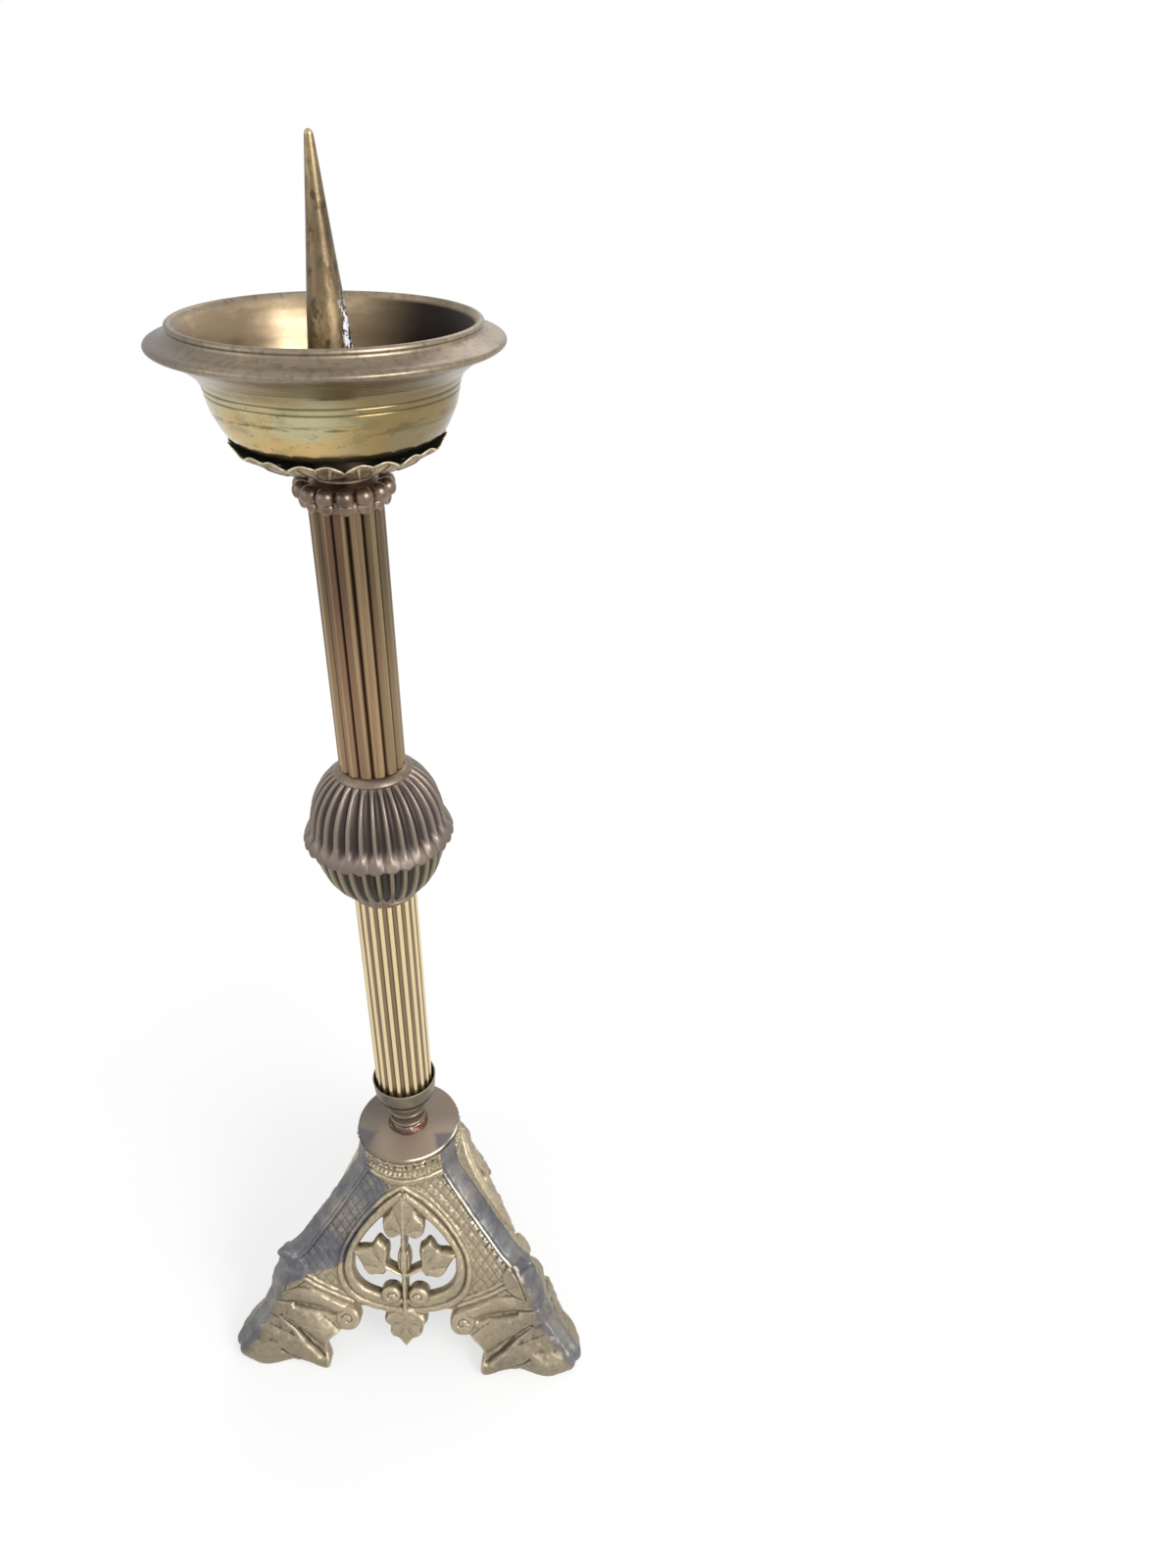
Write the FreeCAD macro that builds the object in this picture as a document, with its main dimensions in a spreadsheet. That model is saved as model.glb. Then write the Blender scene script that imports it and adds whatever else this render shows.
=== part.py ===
import FreeCAD, Part
import Sketcher
import math
import os

# Pricket candle stand: a stack of turned, fluted and cast brass pieces threaded on one iron tie rod.
# The stand's axis is Z, the floor is Z = 0 and the front panel of the three sided foot faces -Y.

doc = FreeCAD.newDocument("pricket_stand")
sheet = doc.addObject("Spreadsheet::Sheet", "Sizes")

cells = {
    # heights of the stack, from the floor up, in millimetres
    "base_height": 110.6,
    "plate_thickness": 2.4,
    "neck_height": 13.5,
    "cup_floor": 7.5,
    "lower_column_length": 112,
    "lower_collar_thickness": 2.6,
    "lower_shell_height": 29.4,
    "upper_shell_height": 23.4,
    "upper_collar_thickness": 2.6,
    "upper_column_length": 98,
    "capital_height": 6,
    "washer_height": 3.2,
    "gallery_thickness": 1.0,
    "pan_foot_height": 7,
    "pan_floor": 1.8,
    "spike_height": 79,
    # tie rod and its fastening
    "rod_radius": 3,
    "rod_clearance": 0.4,
    "thread_clearance": 0.05,
    "rod_tail": 4,
    "rod_engagement": 20,
    "nut_thickness": 5,
    "nut_across_flats": 10,
    "foot_washer_radius": 9,
    "foot_washer_thickness": 1.5,
    # spike and pan
    "spike_foot_radius": 7,
    "spike_waist_radius": 5.4,
    "spike_tip_radius": 1.2,
    "spike_waist_height": 34,
    "pan_lip_radius": 43,
    "pan_edge_radius": 51.3,
    "pan_bowl_radius": 38.7,
    "pan_depth": 34.5,
    "pan_lip_half_width": 0.4,
    "pan_foot_radius": 11,
    # leaf gallery under the pan
    "gallery_radius": 32.4,
    "gallery_rise": 9.5,
    "gallery_seat_radius": 12.5,
    "gallery_leaves": 12,
    "gallery_notch_radius": 2.4,
    "gallery_notch_offset": 0.8,
    "gallery_cut_height": 19,
    "gallery_hole_radius": 1.5,
    "gallery_hole_circle": 19,
    # neck washer and bead capital
    "washer_radius": 10.2,
    "capital_radius": 12.9,
    "capital_skirt": 2.2,
    "capital_wall": 1.0,
    "bead_count": 14,
    "bead_half_width": 2.75,
    "bead_half_height": 3.1,
    "petal_half_width": 1.5,
    "petal_half_height": 2.1,
    "petal_stand_off": 0.15,
    # columns
    "upper_column_radius": 11.8,
    "upper_lobe_radius": 2.6,
    "upper_lobe_count": 14,
    "upper_bore_radius": 8.4,
    "lower_column_radius": 12,
    "flute_radius": 1.5,
    "flute_depth": 1.05,
    "flute_count": 20,
    "lower_bore_radius": 9.6,
    "spigot_length": 6,
    "spigot_clearance": 0.3,
    # knop
    "upper_collar_radius": 13.4,
    "lower_collar_radius": 12.7,
    "knop_radius": 27.5,
    "lower_shell_radius": 24.6,
    "knop_lobes": 30,
    "knop_groove": 1.3,
    "knop_wall": 2,
    "knop_lip_drop": 2.4,
    # socket and its braze
    "cup_radius": 13.65,
    "cup_height": 16.2,
    "cup_rim": 0.6,
    "cup_clearance": 0.35,
    "neck_ring_radius": 8.3,
    "braze_radius": 8.2,
    "braze_height": 3.4,
    "braze_clearance": 0.1,
    # three sided foot
    "plate_radius": 22.5,
    "corner_count": 3,
    "corner_radius": 87,
    "facet_half_width": 3.5,
    "panel_wall": 4,
    "seam_width": 0.6,
    "seam_recess": 0.3,
    "floor_relief": 0.5,
    "moulding_relief": 1.6,
    "moulding_root": 1.5,
    "foot_relief": 0.8,
    "leaf_relief": 2.2,
    "leaf_root": 2.4,
    "stem_width": 2.6,
    "cut_overrun": 40,
}

for row, (alias, number) in enumerate(cells.items(), start=1):
    sheet.set("A%d" % row, alias)
    sheet.set("B%d" % row, str(number))
    sheet.setAlias("B%d" % row, alias)
doc.recompute()


class Size:
    """A length that keeps both its number and the sheet expression that gives it."""

    def __init__(self, number, text):
        self.number = number
        self.text = text

    def join(self, other, sign, number):
        return Size(number, "(%s %s %s)" % (self.text, sign, as_size(other).text))

    def __add__(self, other):
        return self.join(other, "+", self.number + as_size(other).number)

    def __sub__(self, other):
        return self.join(other, "-", self.number - as_size(other).number)

    def __mul__(self, other):
        return self.join(other, "*", self.number * as_size(other).number)

    def __truediv__(self, other):
        return self.join(other, "/", self.number / as_size(other).number)


def as_size(value):
    return value if isinstance(value, Size) else Size(value, repr(value))


def cell(alias):
    return Size(float(sheet.get(alias)), "Sizes." + alias)


def plane_of(body, role):
    return [item for item in body.Origin.OriginFeatures if item.Role == role][0]


def new_sketch(body, name, role, height=None):
    sketch = body.newObject("Sketcher::SketchObject", name)
    sketch.AttachmentSupport = [(plane_of(body, role), "")]
    sketch.MapMode = "FlatFace"
    if height is not None:
        sketch.AttachmentOffset = FreeCAD.Placement(FreeCAD.Vector(0, 0, height.number), FreeCAD.Rotation())
        sketch.setExpression("AttachmentOffset.Base.z", height.text)
    return sketch


def pin_vertex(sketch, geometry, end, x, y):
    """Hold one end of a line at sizes from the sheet, or on an axis where the size is zero."""
    for value, kind, axis in ((x, "DistanceX", -2), (y, "DistanceY", -1)):
        if isinstance(value, Size):
            index = sketch.addConstraint(Sketcher.Constraint(kind, -1, 1, geometry, end, value.number))
            sketch.setExpression("Constraints[%d]" % index, value.text)
        else:
            sketch.addConstraint(Sketcher.Constraint("PointOnObject", geometry, end, axis))


def profile(sketch, points):
    """Draw a closed outline whose corners all follow the sheet."""
    places = [FreeCAD.Vector(as_size(x).number, as_size(y).number, 0) for x, y in points]
    count = len(points)
    for index in range(count):
        sketch.addGeometry(Part.LineSegment(places[index], places[(index + 1) % count]), False)
    for index in range(count):
        sketch.addConstraint(Sketcher.Constraint("Coincident", index, 2, (index + 1) % count, 1))
    for index, (x, y) in enumerate(points):
        pin_vertex(sketch, index, 1, x, y)


def circle(sketch, x, y, radius):
    centre = FreeCAD.Vector(as_size(x).number, as_size(y).number, 0)
    index = sketch.addGeometry(Part.Circle(centre, FreeCAD.Vector(0, 0, 1), radius.number), False)
    pin_vertex(sketch, index, 3, x, y)
    constraint = sketch.addConstraint(Sketcher.Constraint("Radius", index, radius.number))
    sketch.setExpression("Constraints[%d]" % constraint, radius.text)


def new_body(name):
    body = doc.addObject("PartDesign::Body", name)
    body.Label = name
    return body


def revolve(body, points, name="turned"):
    """Turn an outline of radius and height about the stand's axis."""
    sketch = new_sketch(body, body.Name + "_" + name + "_outline", "XZ_Plane")
    profile(sketch, points)
    feature = body.newObject("PartDesign::Revolution", body.Name + "_" + name)
    feature.Profile = sketch
    feature.ReferenceAxis = (sketch, ["V_Axis"])
    feature.Angle = 360
    body.Tip = feature
    doc.recompute()
    return feature


def pad_circle(body, name, x, y, radius, bottom, length):
    sketch = new_sketch(body, body.Name + "_" + name + "_outline", "XY_Plane", bottom)
    circle(sketch, x, y, radius)
    feature = body.newObject("PartDesign::Pad", body.Name + "_" + name)
    feature.Profile = sketch
    feature.setExpression("Length", length.text)
    body.Tip = feature
    doc.recompute()
    return feature


def pocket(body, name, sketch, length):
    """Cut an outline upwards from its own plane, and make sure that it takes metal away."""
    before = body.Shape.Volume
    feature = body.newObject("PartDesign::Pocket", body.Name + "_" + name)
    feature.Profile = sketch
    feature.Reversed = True
    feature.setExpression("Length", length.text)
    body.Tip = feature
    doc.recompute()
    if body.Shape.Volume >= before:
        raise RuntimeError(body.Name + ": " + name + " cuts nothing")
    return feature


def around(body, feature, count):
    """Repeat one feature evenly about the stand's axis."""
    pattern = body.newObject("PartDesign::PolarPattern", feature.Name + "_ring")
    pattern.Originals = [feature]
    pattern.Axis = (plane_of(body, "Z_Axis"), [""])
    pattern.Angle = 360
    pattern.Occurrences = int(count.number)
    pattern.setExpression("Occurrences", count.text)
    body.Tip = pattern
    doc.recompute()
    return pattern


def shape_piece(name, shape, turn=0):
    """A piece whose form is worked out below, set at its place round the axis."""
    piece = doc.addObject("Part::Feature", name)
    piece.Label = name
    piece.Shape = shape
    piece.Placement = FreeCAD.Placement(FreeCAD.Vector(0, 0, 0), FreeCAD.Rotation(FreeCAD.Vector(0, 0, 1), turn))
    return piece


rod_hole = cell("rod_radius") + cell("rod_clearance")
rod_thread = cell("rod_radius") + cell("thread_clearance")

# levels of the stack, each one resting on the piece below it
plate_level = cell("base_height")
neck_level = plate_level + cell("plate_thickness")
cup_level = neck_level + cell("neck_height")
lower_column_level = cup_level + cell("cup_floor")
lower_collar_level = lower_column_level + cell("lower_column_length")
lower_shell_level = lower_collar_level + cell("lower_collar_thickness")
upper_shell_level = lower_shell_level + cell("lower_shell_height")
upper_collar_level = upper_shell_level + cell("upper_shell_height")
upper_column_level = upper_collar_level + cell("upper_collar_thickness")
capital_level = upper_column_level + cell("upper_column_length")
washer_level = capital_level + cell("capital_height")
gallery_level = washer_level + cell("washer_height")
pan_foot_level = gallery_level + cell("gallery_thickness")
pan_level = pan_foot_level + cell("pan_foot_height")
spike_level = pan_level + cell("pan_floor")


def table(shares, radius, height, level):
    """Turn hand chosen shares of a radius and a height into corners of an outline."""
    return [(radius * across, level + height * up) for across, up in shares]


# Spike: a turned cone with a blunt tip and a threaded blind bore for the tie rod.
spike_height = cell("spike_height")
spike_tip_level = spike_level + spike_height
spike_tip_shares = [(1.0, 0.985), (0.72, 0.995)]
spike_bore_top = spike_level + cell("rod_engagement")
spike = new_body("pricket_spike")
revolve(
    spike,
    [
        (rod_thread, spike_level),
        (cell("spike_foot_radius"), spike_level),
        (cell("spike_waist_radius"), spike_level + cell("spike_waist_height")),
    ]
    + table(spike_tip_shares, cell("spike_tip_radius"), spike_height, spike_level)
    + [(0, spike_tip_level), (0, spike_bore_top + rod_thread), (rod_thread, spike_bore_top)],
)

# Drip pan: a spun bowl with a stepped lip, a hollowed slope and a rounded outer band.
pan_depth = cell("pan_depth")
pan_lip = cell("pan_lip_radius")
pan_bowl = cell("pan_bowl_radius")
pan_edge = cell("pan_edge_radius")
lip_half_width = cell("pan_lip_half_width")
pan_foot_radius = cell("pan_foot_radius")
pan_bowl_shares = [
    (0.620, 0.0), (0.730, 0.025), (0.795, 0.070), (0.840, 0.112), (0.875, 0.180), (0.905, 0.250),
    (0.931, 0.312), (0.950, 0.382), (0.941, 0.397), (0.957, 0.415), (0.970, 0.450), (0.961, 0.465),
    (0.980, 0.482), (0.994, 0.510), (1.000, 0.600),
]
pan_band_shares = [
    (0.790, 0.640), (0.870, 0.730), (0.940, 0.780), (0.985, 0.795), (1.000, 0.825), (0.992, 0.850),
    (0.965, 0.868), (0.925, 0.885), (0.890, 0.922), (0.865, 0.960), (0.858, 0.985),
]
pan_inside_shares = [
    (0.985, 0.960), (0.955, 0.880), (0.925, 0.780), (0.908, 0.700), (0.900, 0.620), (0.886, 0.540), (0.860, 0.420),
    (0.820, 0.280), (0.770, 0.170), (0.690, 0.095), (0.580, 0.060),
]
pan = new_body("drip_pan")
revolve(
    pan,
    [(rod_hole, pan_level)]
    + table(pan_bowl_shares, pan_bowl, pan_depth, pan_level)
    + table(pan_band_shares, pan_edge, pan_depth, pan_level)
    + [(pan_lip + lip_half_width, pan_level + pan_depth), (pan_lip - lip_half_width, pan_level + pan_depth)]
    + table(pan_inside_shares, pan_lip - lip_half_width, pan_depth, pan_level)
    + [(pan_foot_radius, spike_level), (rod_hole, spike_level)],
)

# Pan foot: the hidden turned boss that lifts the pan clear of the leaf gallery.
pan_foot = new_body("pan_foot")
revolve(
    pan_foot,
    [
        (rod_hole, pan_foot_level),
        (pan_foot_radius, pan_foot_level),
        (pan_foot_radius, pan_level),
        (rod_hole, pan_level),
    ],
)

# Leaf gallery: a thin flared ring of leaves, notched between the leaves and pierced near its seat.
gallery_radius = cell("gallery_radius")
gallery_rise = cell("gallery_rise")
gallery_skin = cell("gallery_thickness")
gallery_seat = cell("gallery_seat_radius")
gallery_shares = [(0.520, 0.10), (0.680, 0.30), (0.830, 0.58), (0.940, 0.86), (1.0, 1.0)]
gallery_under = table(gallery_shares, gallery_radius, gallery_rise, gallery_level)
gallery_over = table(gallery_shares, gallery_radius, gallery_rise, gallery_level + gallery_skin)
gallery = new_body("leaf_gallery")
revolve(
    gallery,
    [(rod_hole, gallery_level), (gallery_seat, gallery_level)]
    + gallery_under
    + gallery_over[::-1]
    + [(gallery_seat, pan_foot_level), (rod_hole, pan_foot_level)],
)
gallery_cut = cell("gallery_cut_height")
notch_sketch = new_sketch(gallery, "leaf_notch", "XY_Plane", gallery_level)
circle(notch_sketch, gallery_radius + cell("gallery_notch_offset"), 0, cell("gallery_notch_radius"))
around(gallery, pocket(gallery, "notch", notch_sketch, gallery_cut), cell("gallery_leaves"))
hole_sketch = new_sketch(gallery, "leaf_hole", "XY_Plane", gallery_level)
circle(hole_sketch, cell("gallery_hole_circle"), 0, cell("gallery_hole_radius"))
around(gallery, pocket(gallery, "hole", hole_sketch, gallery_cut), cell("gallery_leaves"))

# Neck washer: the small waisted disc between the leaves and the beads.
neck_washer = new_body("neck_washer")
washer_height = cell("washer_height")
washer_shares = [(0.92, 0.0), (0.90, 0.30), (0.96, 0.55), (1.0, 0.75), (1.0, 1.0)]
revolve(
    neck_washer,
    [(rod_hole, washer_level)]
    + table(washer_shares, cell("washer_radius"), washer_height, washer_level)
    + [(rod_hole, gallery_level)],
)

# Bead capital: a cap over the fluted tube with a ring of beads, a petal under each bead and a spigot.
capital_radius = cell("capital_radius")
capital_skirt_radius = cell("upper_column_radius") + cell("spigot_clearance") + cell("capital_wall")
capital_recess_radius = cell("upper_column_radius") + cell("spigot_clearance")
capital_spigot = cell("upper_bore_radius") - cell("spigot_clearance")
skirt_level = capital_level - cell("capital_skirt")
capital_shares = [(1.0, 0.10), (1.0, 0.45), (0.92, 0.72), (0.77, 0.88), (0.715, 1.0)]
capital = new_body("bead_capital")
revolve(
    capital,
    [
        (rod_hole, capital_level - cell("spigot_length")),
        (capital_spigot, capital_level - cell("spigot_length")),
        (capital_spigot, capital_level),
        (capital_recess_radius, capital_level),
        (capital_recess_radius, skirt_level),
        (capital_skirt_radius, skirt_level),
    ]
    + table(capital_shares, capital_radius, cell("capital_height"), capital_level)
    + [(rod_hole, washer_level)],
)


def bead_outline(centre_radius, centre_level, half_width, half_height):
    """Half of one bead's section, beside the line that it is turned about."""
    steps_per_quarter = 4
    points = []
    for step in range(-steps_per_quarter, steps_per_quarter + 1):
        turn = math.pi / 2 * step / steps_per_quarter
        out = half_width * math.cos(turn)
        up = half_height * math.sin(turn)
        points.append((centre_radius + out, centre_level + up))
    return points


def bead(body, name, centre_radius, centre_level, half_width, half_height):
    """Turn one bead about an upright line that stands on the ring of beads."""
    sketch = new_sketch(body, body.Name + "_" + name + "_outline", "XZ_Plane")
    points = bead_outline(centre_radius, centre_level, half_width, half_height)
    points[0] = (centre_radius, points[0][1])
    points[-1] = (centre_radius, points[-1][1])
    profile(sketch, points)
    axis = sketch.addGeometry(Part.LineSegment(
        FreeCAD.Vector(centre_radius.number, points[0][1].number, 0),
        FreeCAD.Vector(centre_radius.number, points[-1][1].number, 0)), True)
    sketch.addConstraint(Sketcher.Constraint("Coincident", axis, 1, 0, 1))
    sketch.addConstraint(Sketcher.Constraint("Coincident", axis, 2, len(points) - 1, 1))
    feature = body.newObject("PartDesign::Revolution", body.Name + "_" + name)
    feature.Profile = sketch
    feature.ReferenceAxis = (sketch, ["Axis0"])
    feature.Angle = 360
    body.Tip = feature
    doc.recompute()
    return feature


bead_level = capital_level + cell("capital_height") / 2
one_bead = bead(capital, "bead", capital_radius, bead_level, cell("bead_half_width"), cell("bead_half_height"))
around(capital, one_bead, cell("bead_count"))
petal_circle = capital_skirt_radius + cell("petal_stand_off")
one_petal = bead(capital, "petal", petal_circle, capital_level, cell("petal_half_width"), cell("petal_half_height"))
around(capital, one_petal, cell("bead_count"))

# Upper column: a reeded tube of convex lobes.
upper_length = cell("upper_column_length")
lobe_radius = cell("upper_lobe_radius")
upper_core_radius = cell("upper_column_radius") - lobe_radius
upper_column = new_body("upper_column")
pad_circle(upper_column, "core", 0, 0, upper_core_radius, upper_column_level, upper_length)
lobe = pad_circle(upper_column, "lobe", upper_core_radius, 0, lobe_radius, upper_column_level, upper_length)
around(upper_column, lobe, cell("upper_lobe_count"))
bore_sketch = new_sketch(upper_column, "upper_bore", "XY_Plane", upper_column_level)
circle(bore_sketch, 0, 0, cell("upper_bore_radius"))
pocket(upper_column, "bore", bore_sketch, upper_length)

# Lower column: a tube with hollow flutes and narrow lands between them.
lower_length = cell("lower_column_length")
lower_column_radius = cell("lower_column_radius")
flute_circle = lower_column_radius + cell("flute_radius") - cell("flute_depth")
lower_column = new_body("lower_column")
pad_circle(lower_column, "tube", 0, 0, lower_column_radius, lower_column_level, lower_length)
flute_sketch = new_sketch(lower_column, "flute", "XY_Plane", lower_column_level)
circle(flute_sketch, flute_circle, 0, cell("flute_radius"))
around(lower_column, pocket(lower_column, "flute_cut", flute_sketch, lower_length), cell("flute_count"))
lower_bore_sketch = new_sketch(lower_column, "lower_bore", "XY_Plane", lower_column_level)
circle(lower_bore_sketch, 0, 0, cell("lower_bore_radius"))
pocket(lower_column, "bore", lower_bore_sketch, lower_length)


def collar(name, level, thickness, radius, spigot_radius, spigot_level):
    """A turned ring with a rounded edge and a spigot that centres one of the tubes."""
    edge_shares = [(0.93, 0.0), (0.985, 0.22), (1.0, 0.5), (0.985, 0.78), (0.93, 1.0)]
    edge = table(edge_shares, radius, thickness, level)
    top = level + thickness
    body = new_body(name)
    if spigot_level.number > level.number:
        bore = [(spigot_radius, top), (spigot_radius, spigot_level), (rod_hole, spigot_level), (rod_hole, level)]
    else:
        bore = [(rod_hole, top), (rod_hole, spigot_level), (spigot_radius, spigot_level), (spigot_radius, level)]
    revolve(body, edge + bore)


upper_spigot_level = upper_column_level + cell("spigot_length")
collar("knop_upper_collar", upper_collar_level, cell("upper_collar_thickness"), cell("upper_collar_radius"),
       capital_spigot, upper_spigot_level)
lower_spigot_level = lower_collar_level - cell("spigot_length")
lower_spigot = cell("lower_bore_radius") - cell("spigot_clearance")
collar("knop_lower_collar", lower_collar_level, cell("lower_collar_thickness"), cell("lower_collar_radius"),
       lower_spigot, lower_spigot_level)


def lobed_wire(crest, groove, lobes, level):
    """A closed ring of equal rounded lobes, its cusps one groove deep."""
    half = math.pi / lobes
    root = crest - groove
    reach = 2 * crest - root * math.cos(half)
    edges = []
    for index in range(lobes):
        middle = 2 * half * index
        start = FreeCAD.Vector(root * math.cos(middle - half), root * math.sin(middle - half), level)
        peak = FreeCAD.Vector(reach * math.cos(middle), reach * math.sin(middle), level)
        end = FreeCAD.Vector(root * math.cos(middle + half), root * math.sin(middle + half), level)
        curve = Part.BezierCurve()
        curve.setPoles([start, peak, end])
        edges.append(curve.toShape())
    return Part.Wire(edges)


def turned_solid(points):
    """Turn a closed outline of radius and height, given as plain numbers, about the axis."""
    places = [FreeCAD.Vector(radius, 0, level) for radius, level in points]
    face = Part.Face(Part.makePolygon(places + [places[0]]))
    return face.revolve(FreeCAD.Vector(0, 0, 0), FreeCAD.Vector(0, 0, 1), 360)


# Knop: two lobed shells, the upper one's flared lip hanging over the lower one.
knop_lobes = int(cell("knop_lobes").number)
knop_groove = cell("knop_groove").number
knop_wall = cell("knop_wall").number
upper_shell_shares = [
    (0.955, 0.0), (0.997, 0.045), (0.990, 0.100), (0.940, 0.190), (0.895, 0.290), (0.865, 0.420), (0.820, 0.570),
    (0.750, 0.730), (0.665, 0.860), (0.575, 0.950), (0.490, 1.0),
]
lower_shell_shares = [
    (0.515, 0.0), (0.600, 0.055), (0.720, 0.175), (0.840, 0.345), (0.935, 0.560), (0.990, 0.790), (1.0, 1.0),
]
lip_bottom = upper_shell_level - cell("knop_lip_drop")
upper_height = upper_collar_level.number - lip_bottom.number
upper_wires = [
    lobed_wire(cell("knop_radius").number * across, knop_groove, knop_lobes, lip_bottom.number + upper_height * up)
    for across, up in upper_shell_shares
]
upper_solid = Part.makeLoft(upper_wires, True, False)
lip_bore = cell("lower_shell_radius").number + cell("spigot_clearance").number
cavity_radius = cell("lower_shell_radius").number - knop_groove - knop_wall
cavity_shares = [(1.0, 0.0), (1.0, 0.40), (0.90, 0.62), (0.70, 0.80), (0.42, 0.89)]
cavity = [
    (cavity_radius * across, upper_shell_level.number + cell("upper_shell_height").number * up)
    for across, up in cavity_shares
]
upper_hollow = turned_solid(
    [(0, lip_bottom.number), (lip_bore, lip_bottom.number), (lip_bore, upper_shell_level.number)]
    + cavity
    + [(rod_hole.number, cavity[-1][1]), (rod_hole.number, upper_collar_level.number), (0, upper_collar_level.number)]
)
shape_piece("knop_upper_shell", upper_solid.cut(upper_hollow))

lower_wires = [
    lobed_wire(cell("lower_shell_radius").number * across, knop_groove, knop_lobes,
               lower_shell_level.number + cell("lower_shell_height").number * up)
    for across, up in lower_shell_shares
]
lower_solid = Part.makeLoft(lower_wires, True, False)
well_shares = [(0.42, 0.10), (0.72, 0.24), (0.90, 0.42), (1.0, 0.62), (1.0, 1.0)]
well = [
    (cavity_radius * across, lower_shell_level.number + cell("lower_shell_height").number * up)
    for across, up in well_shares
]
lower_hollow = turned_solid(
    [(0, lower_shell_level.number), (rod_hole.number, lower_shell_level.number), (rod_hole.number, well[0][1])]
    + well
    + [(0, upper_shell_level.number)]
)
shape_piece("knop_lower_shell", lower_solid.cut(lower_hollow))

# Socket: a flared cup that holds the lower column, on a turned neck brazed to the plate.
cup_height = cell("cup_height")
cup_radius = cell("cup_radius")
cup_top = cup_level + cup_height
cup_bore = lower_column_radius + cell("cup_clearance")
cup_outer_shares = [
    (0.570, 0.0), (0.650, 0.05), (0.655, 0.15), (0.600, 0.21), (0.720, 0.28), (0.870, 0.37), (0.955, 0.50),
    (0.968, 0.75), (1.0, 1.0),
]
cup_flare_share = 0.8
socket_cup = new_body("socket_cup")
revolve(
    socket_cup,
    [(rod_hole, cup_level)]
    + table(cup_outer_shares, cup_radius, cup_height, cup_level)
    + [
        (cup_radius - cell("cup_rim"), cup_top),
        (cup_bore, cup_level + cup_height * cup_flare_share),
        (cup_bore, lower_column_level),
        (rod_hole, lower_column_level),
    ],
)
neck_height = cell("neck_height")
neck_shares = [
    (0.90, 0.0), (0.90, 0.36), (0.87, 0.50), (0.90, 0.60), (0.985, 0.66), (1.0, 0.76), (0.985, 0.86), (0.93, 0.93),
    (0.95, 1.0),
]
socket_neck = new_body("socket_neck")
revolve(
    socket_neck,
    [(rod_hole, neck_level)]
    + table(neck_shares, cell("neck_ring_radius"), neck_height, neck_level)
    + [(rod_hole, cup_level)],
)
neck_foot_share = neck_shares[0][0]
braze_bore = cell("neck_ring_radius") * neck_foot_share + cell("braze_clearance")
braze_shares = [(1.0, 0.0), (0.985, 0.35), (0.955, 0.80), (0.945, 1.0)]
braze_height = cell("braze_height")
braze = new_body("braze_ring")
revolve(
    braze,
    [(braze_bore, neck_level)]
    + table(braze_shares, cell("braze_radius"), braze_height, neck_level)
    + [(braze_bore, neck_level + braze_height)],
)

# Form of the foot. Each row is one level: its share of the foot's height, then shares of the corner's
# full reach for the corner, for the middle of the wall and for the middle of the leaf feet's bulging
# skin, and last the share of the corner facet's width.
panel_shares = [
    (0.0, 0.971, 0.578, 0.667, 0.70), (0.036, 1.0, 0.566, 0.655, 0.70), (0.090, 0.998, 0.546, 0.626, 0.72),
    (0.140, 0.971, 0.528, 0.598, 0.75), (0.181, 0.925, 0.513, 0.569, 0.80), (0.226, 0.868, 0.495, 0.534, 0.85),
    (0.289, 0.828, 0.472, 0.494, 0.90), (0.371, 0.787, 0.443, 0.454, 1.0), (0.452, 0.751, 0.413, 0.414, 1.0),
    (0.538, 0.632, 0.382, 0.382, 1.0), (0.610, 0.555, 0.355, 0.355, 1.0), (0.678, 0.477, 0.330, 0.330, 1.0),
    (0.751, 0.402, 0.303, 0.303, 1.0), (0.809, 0.340, 0.283, 0.283, 1.0), (0.854, 0.297, 0.266, 0.266, 1.0),
    (0.892, 0.269, 0.256, 0.256, 1.0), (0.922, 0.256, 0.2535, 0.2535, 1.0), (0.963, 0.254, 0.253, 0.253, 1.0),
    (1.0, 0.254, 0.253, 0.253, 1.0),
]

# Top plate: a disc cut by three short facets over the corners of the foot.
plate_radius = cell("plate_radius")
corner_top_share = panel_shares[-1][1]
facet_reach_shares = (0.5, 1.2)
facet_distance = cell("corner_radius") * corner_top_share
top_plate = new_body("top_plate")
revolve(
    top_plate,
    [(rod_hole, plate_level), (plate_radius, plate_level), (plate_radius, neck_level), (rod_hole, neck_level)],
)
facet_sketch = new_sketch(top_plate, "facet", "XY_Plane", plate_level)
facet_side = plate_radius * facet_reach_shares[0]
facet_far = plate_radius * facet_reach_shares[1]
profile(facet_sketch, [
    (facet_side * -1, facet_distance),
    (facet_side, facet_distance),
    (facet_side, facet_far),
    (facet_side * -1, facet_far),
])
around(top_plate, pocket(top_plate, "facet_cut", facet_sketch, cell("plate_thickness")), cell("corner_count"))

# Tie rod with its washer and nut under the plate.
washer_thickness = cell("foot_washer_thickness")
foot_washer_level = plate_level - washer_thickness
nut_level = foot_washer_level - cell("nut_thickness")
rod_bottom = nut_level - cell("rod_tail")
rod_length = spike_bore_top - rod_bottom - cell("rod_clearance")
tie_rod = new_body("tie_rod")
pad_circle(tie_rod, "shank", 0, 0, cell("rod_radius"), rod_bottom, rod_length)
foot_washer = new_body("foot_washer")
revolve(
    foot_washer,
    [
        (rod_hole, foot_washer_level),
        (cell("foot_washer_radius"), foot_washer_level),
        (cell("foot_washer_radius"), plate_level),
        (rod_hole, plate_level),
    ],
)
nut = new_body("foot_nut")
nut_corner = cell("nut_across_flats") / math.sqrt(3)
nut_sketch = new_sketch(nut, "hexagon", "XY_Plane", nut_level)
profile(nut_sketch, [
    (nut_corner * math.cos(math.pi / 3 * side), nut_corner * math.sin(math.pi / 3 * side) if side % 3 else 0)
    for side in range(6)
])
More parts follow.
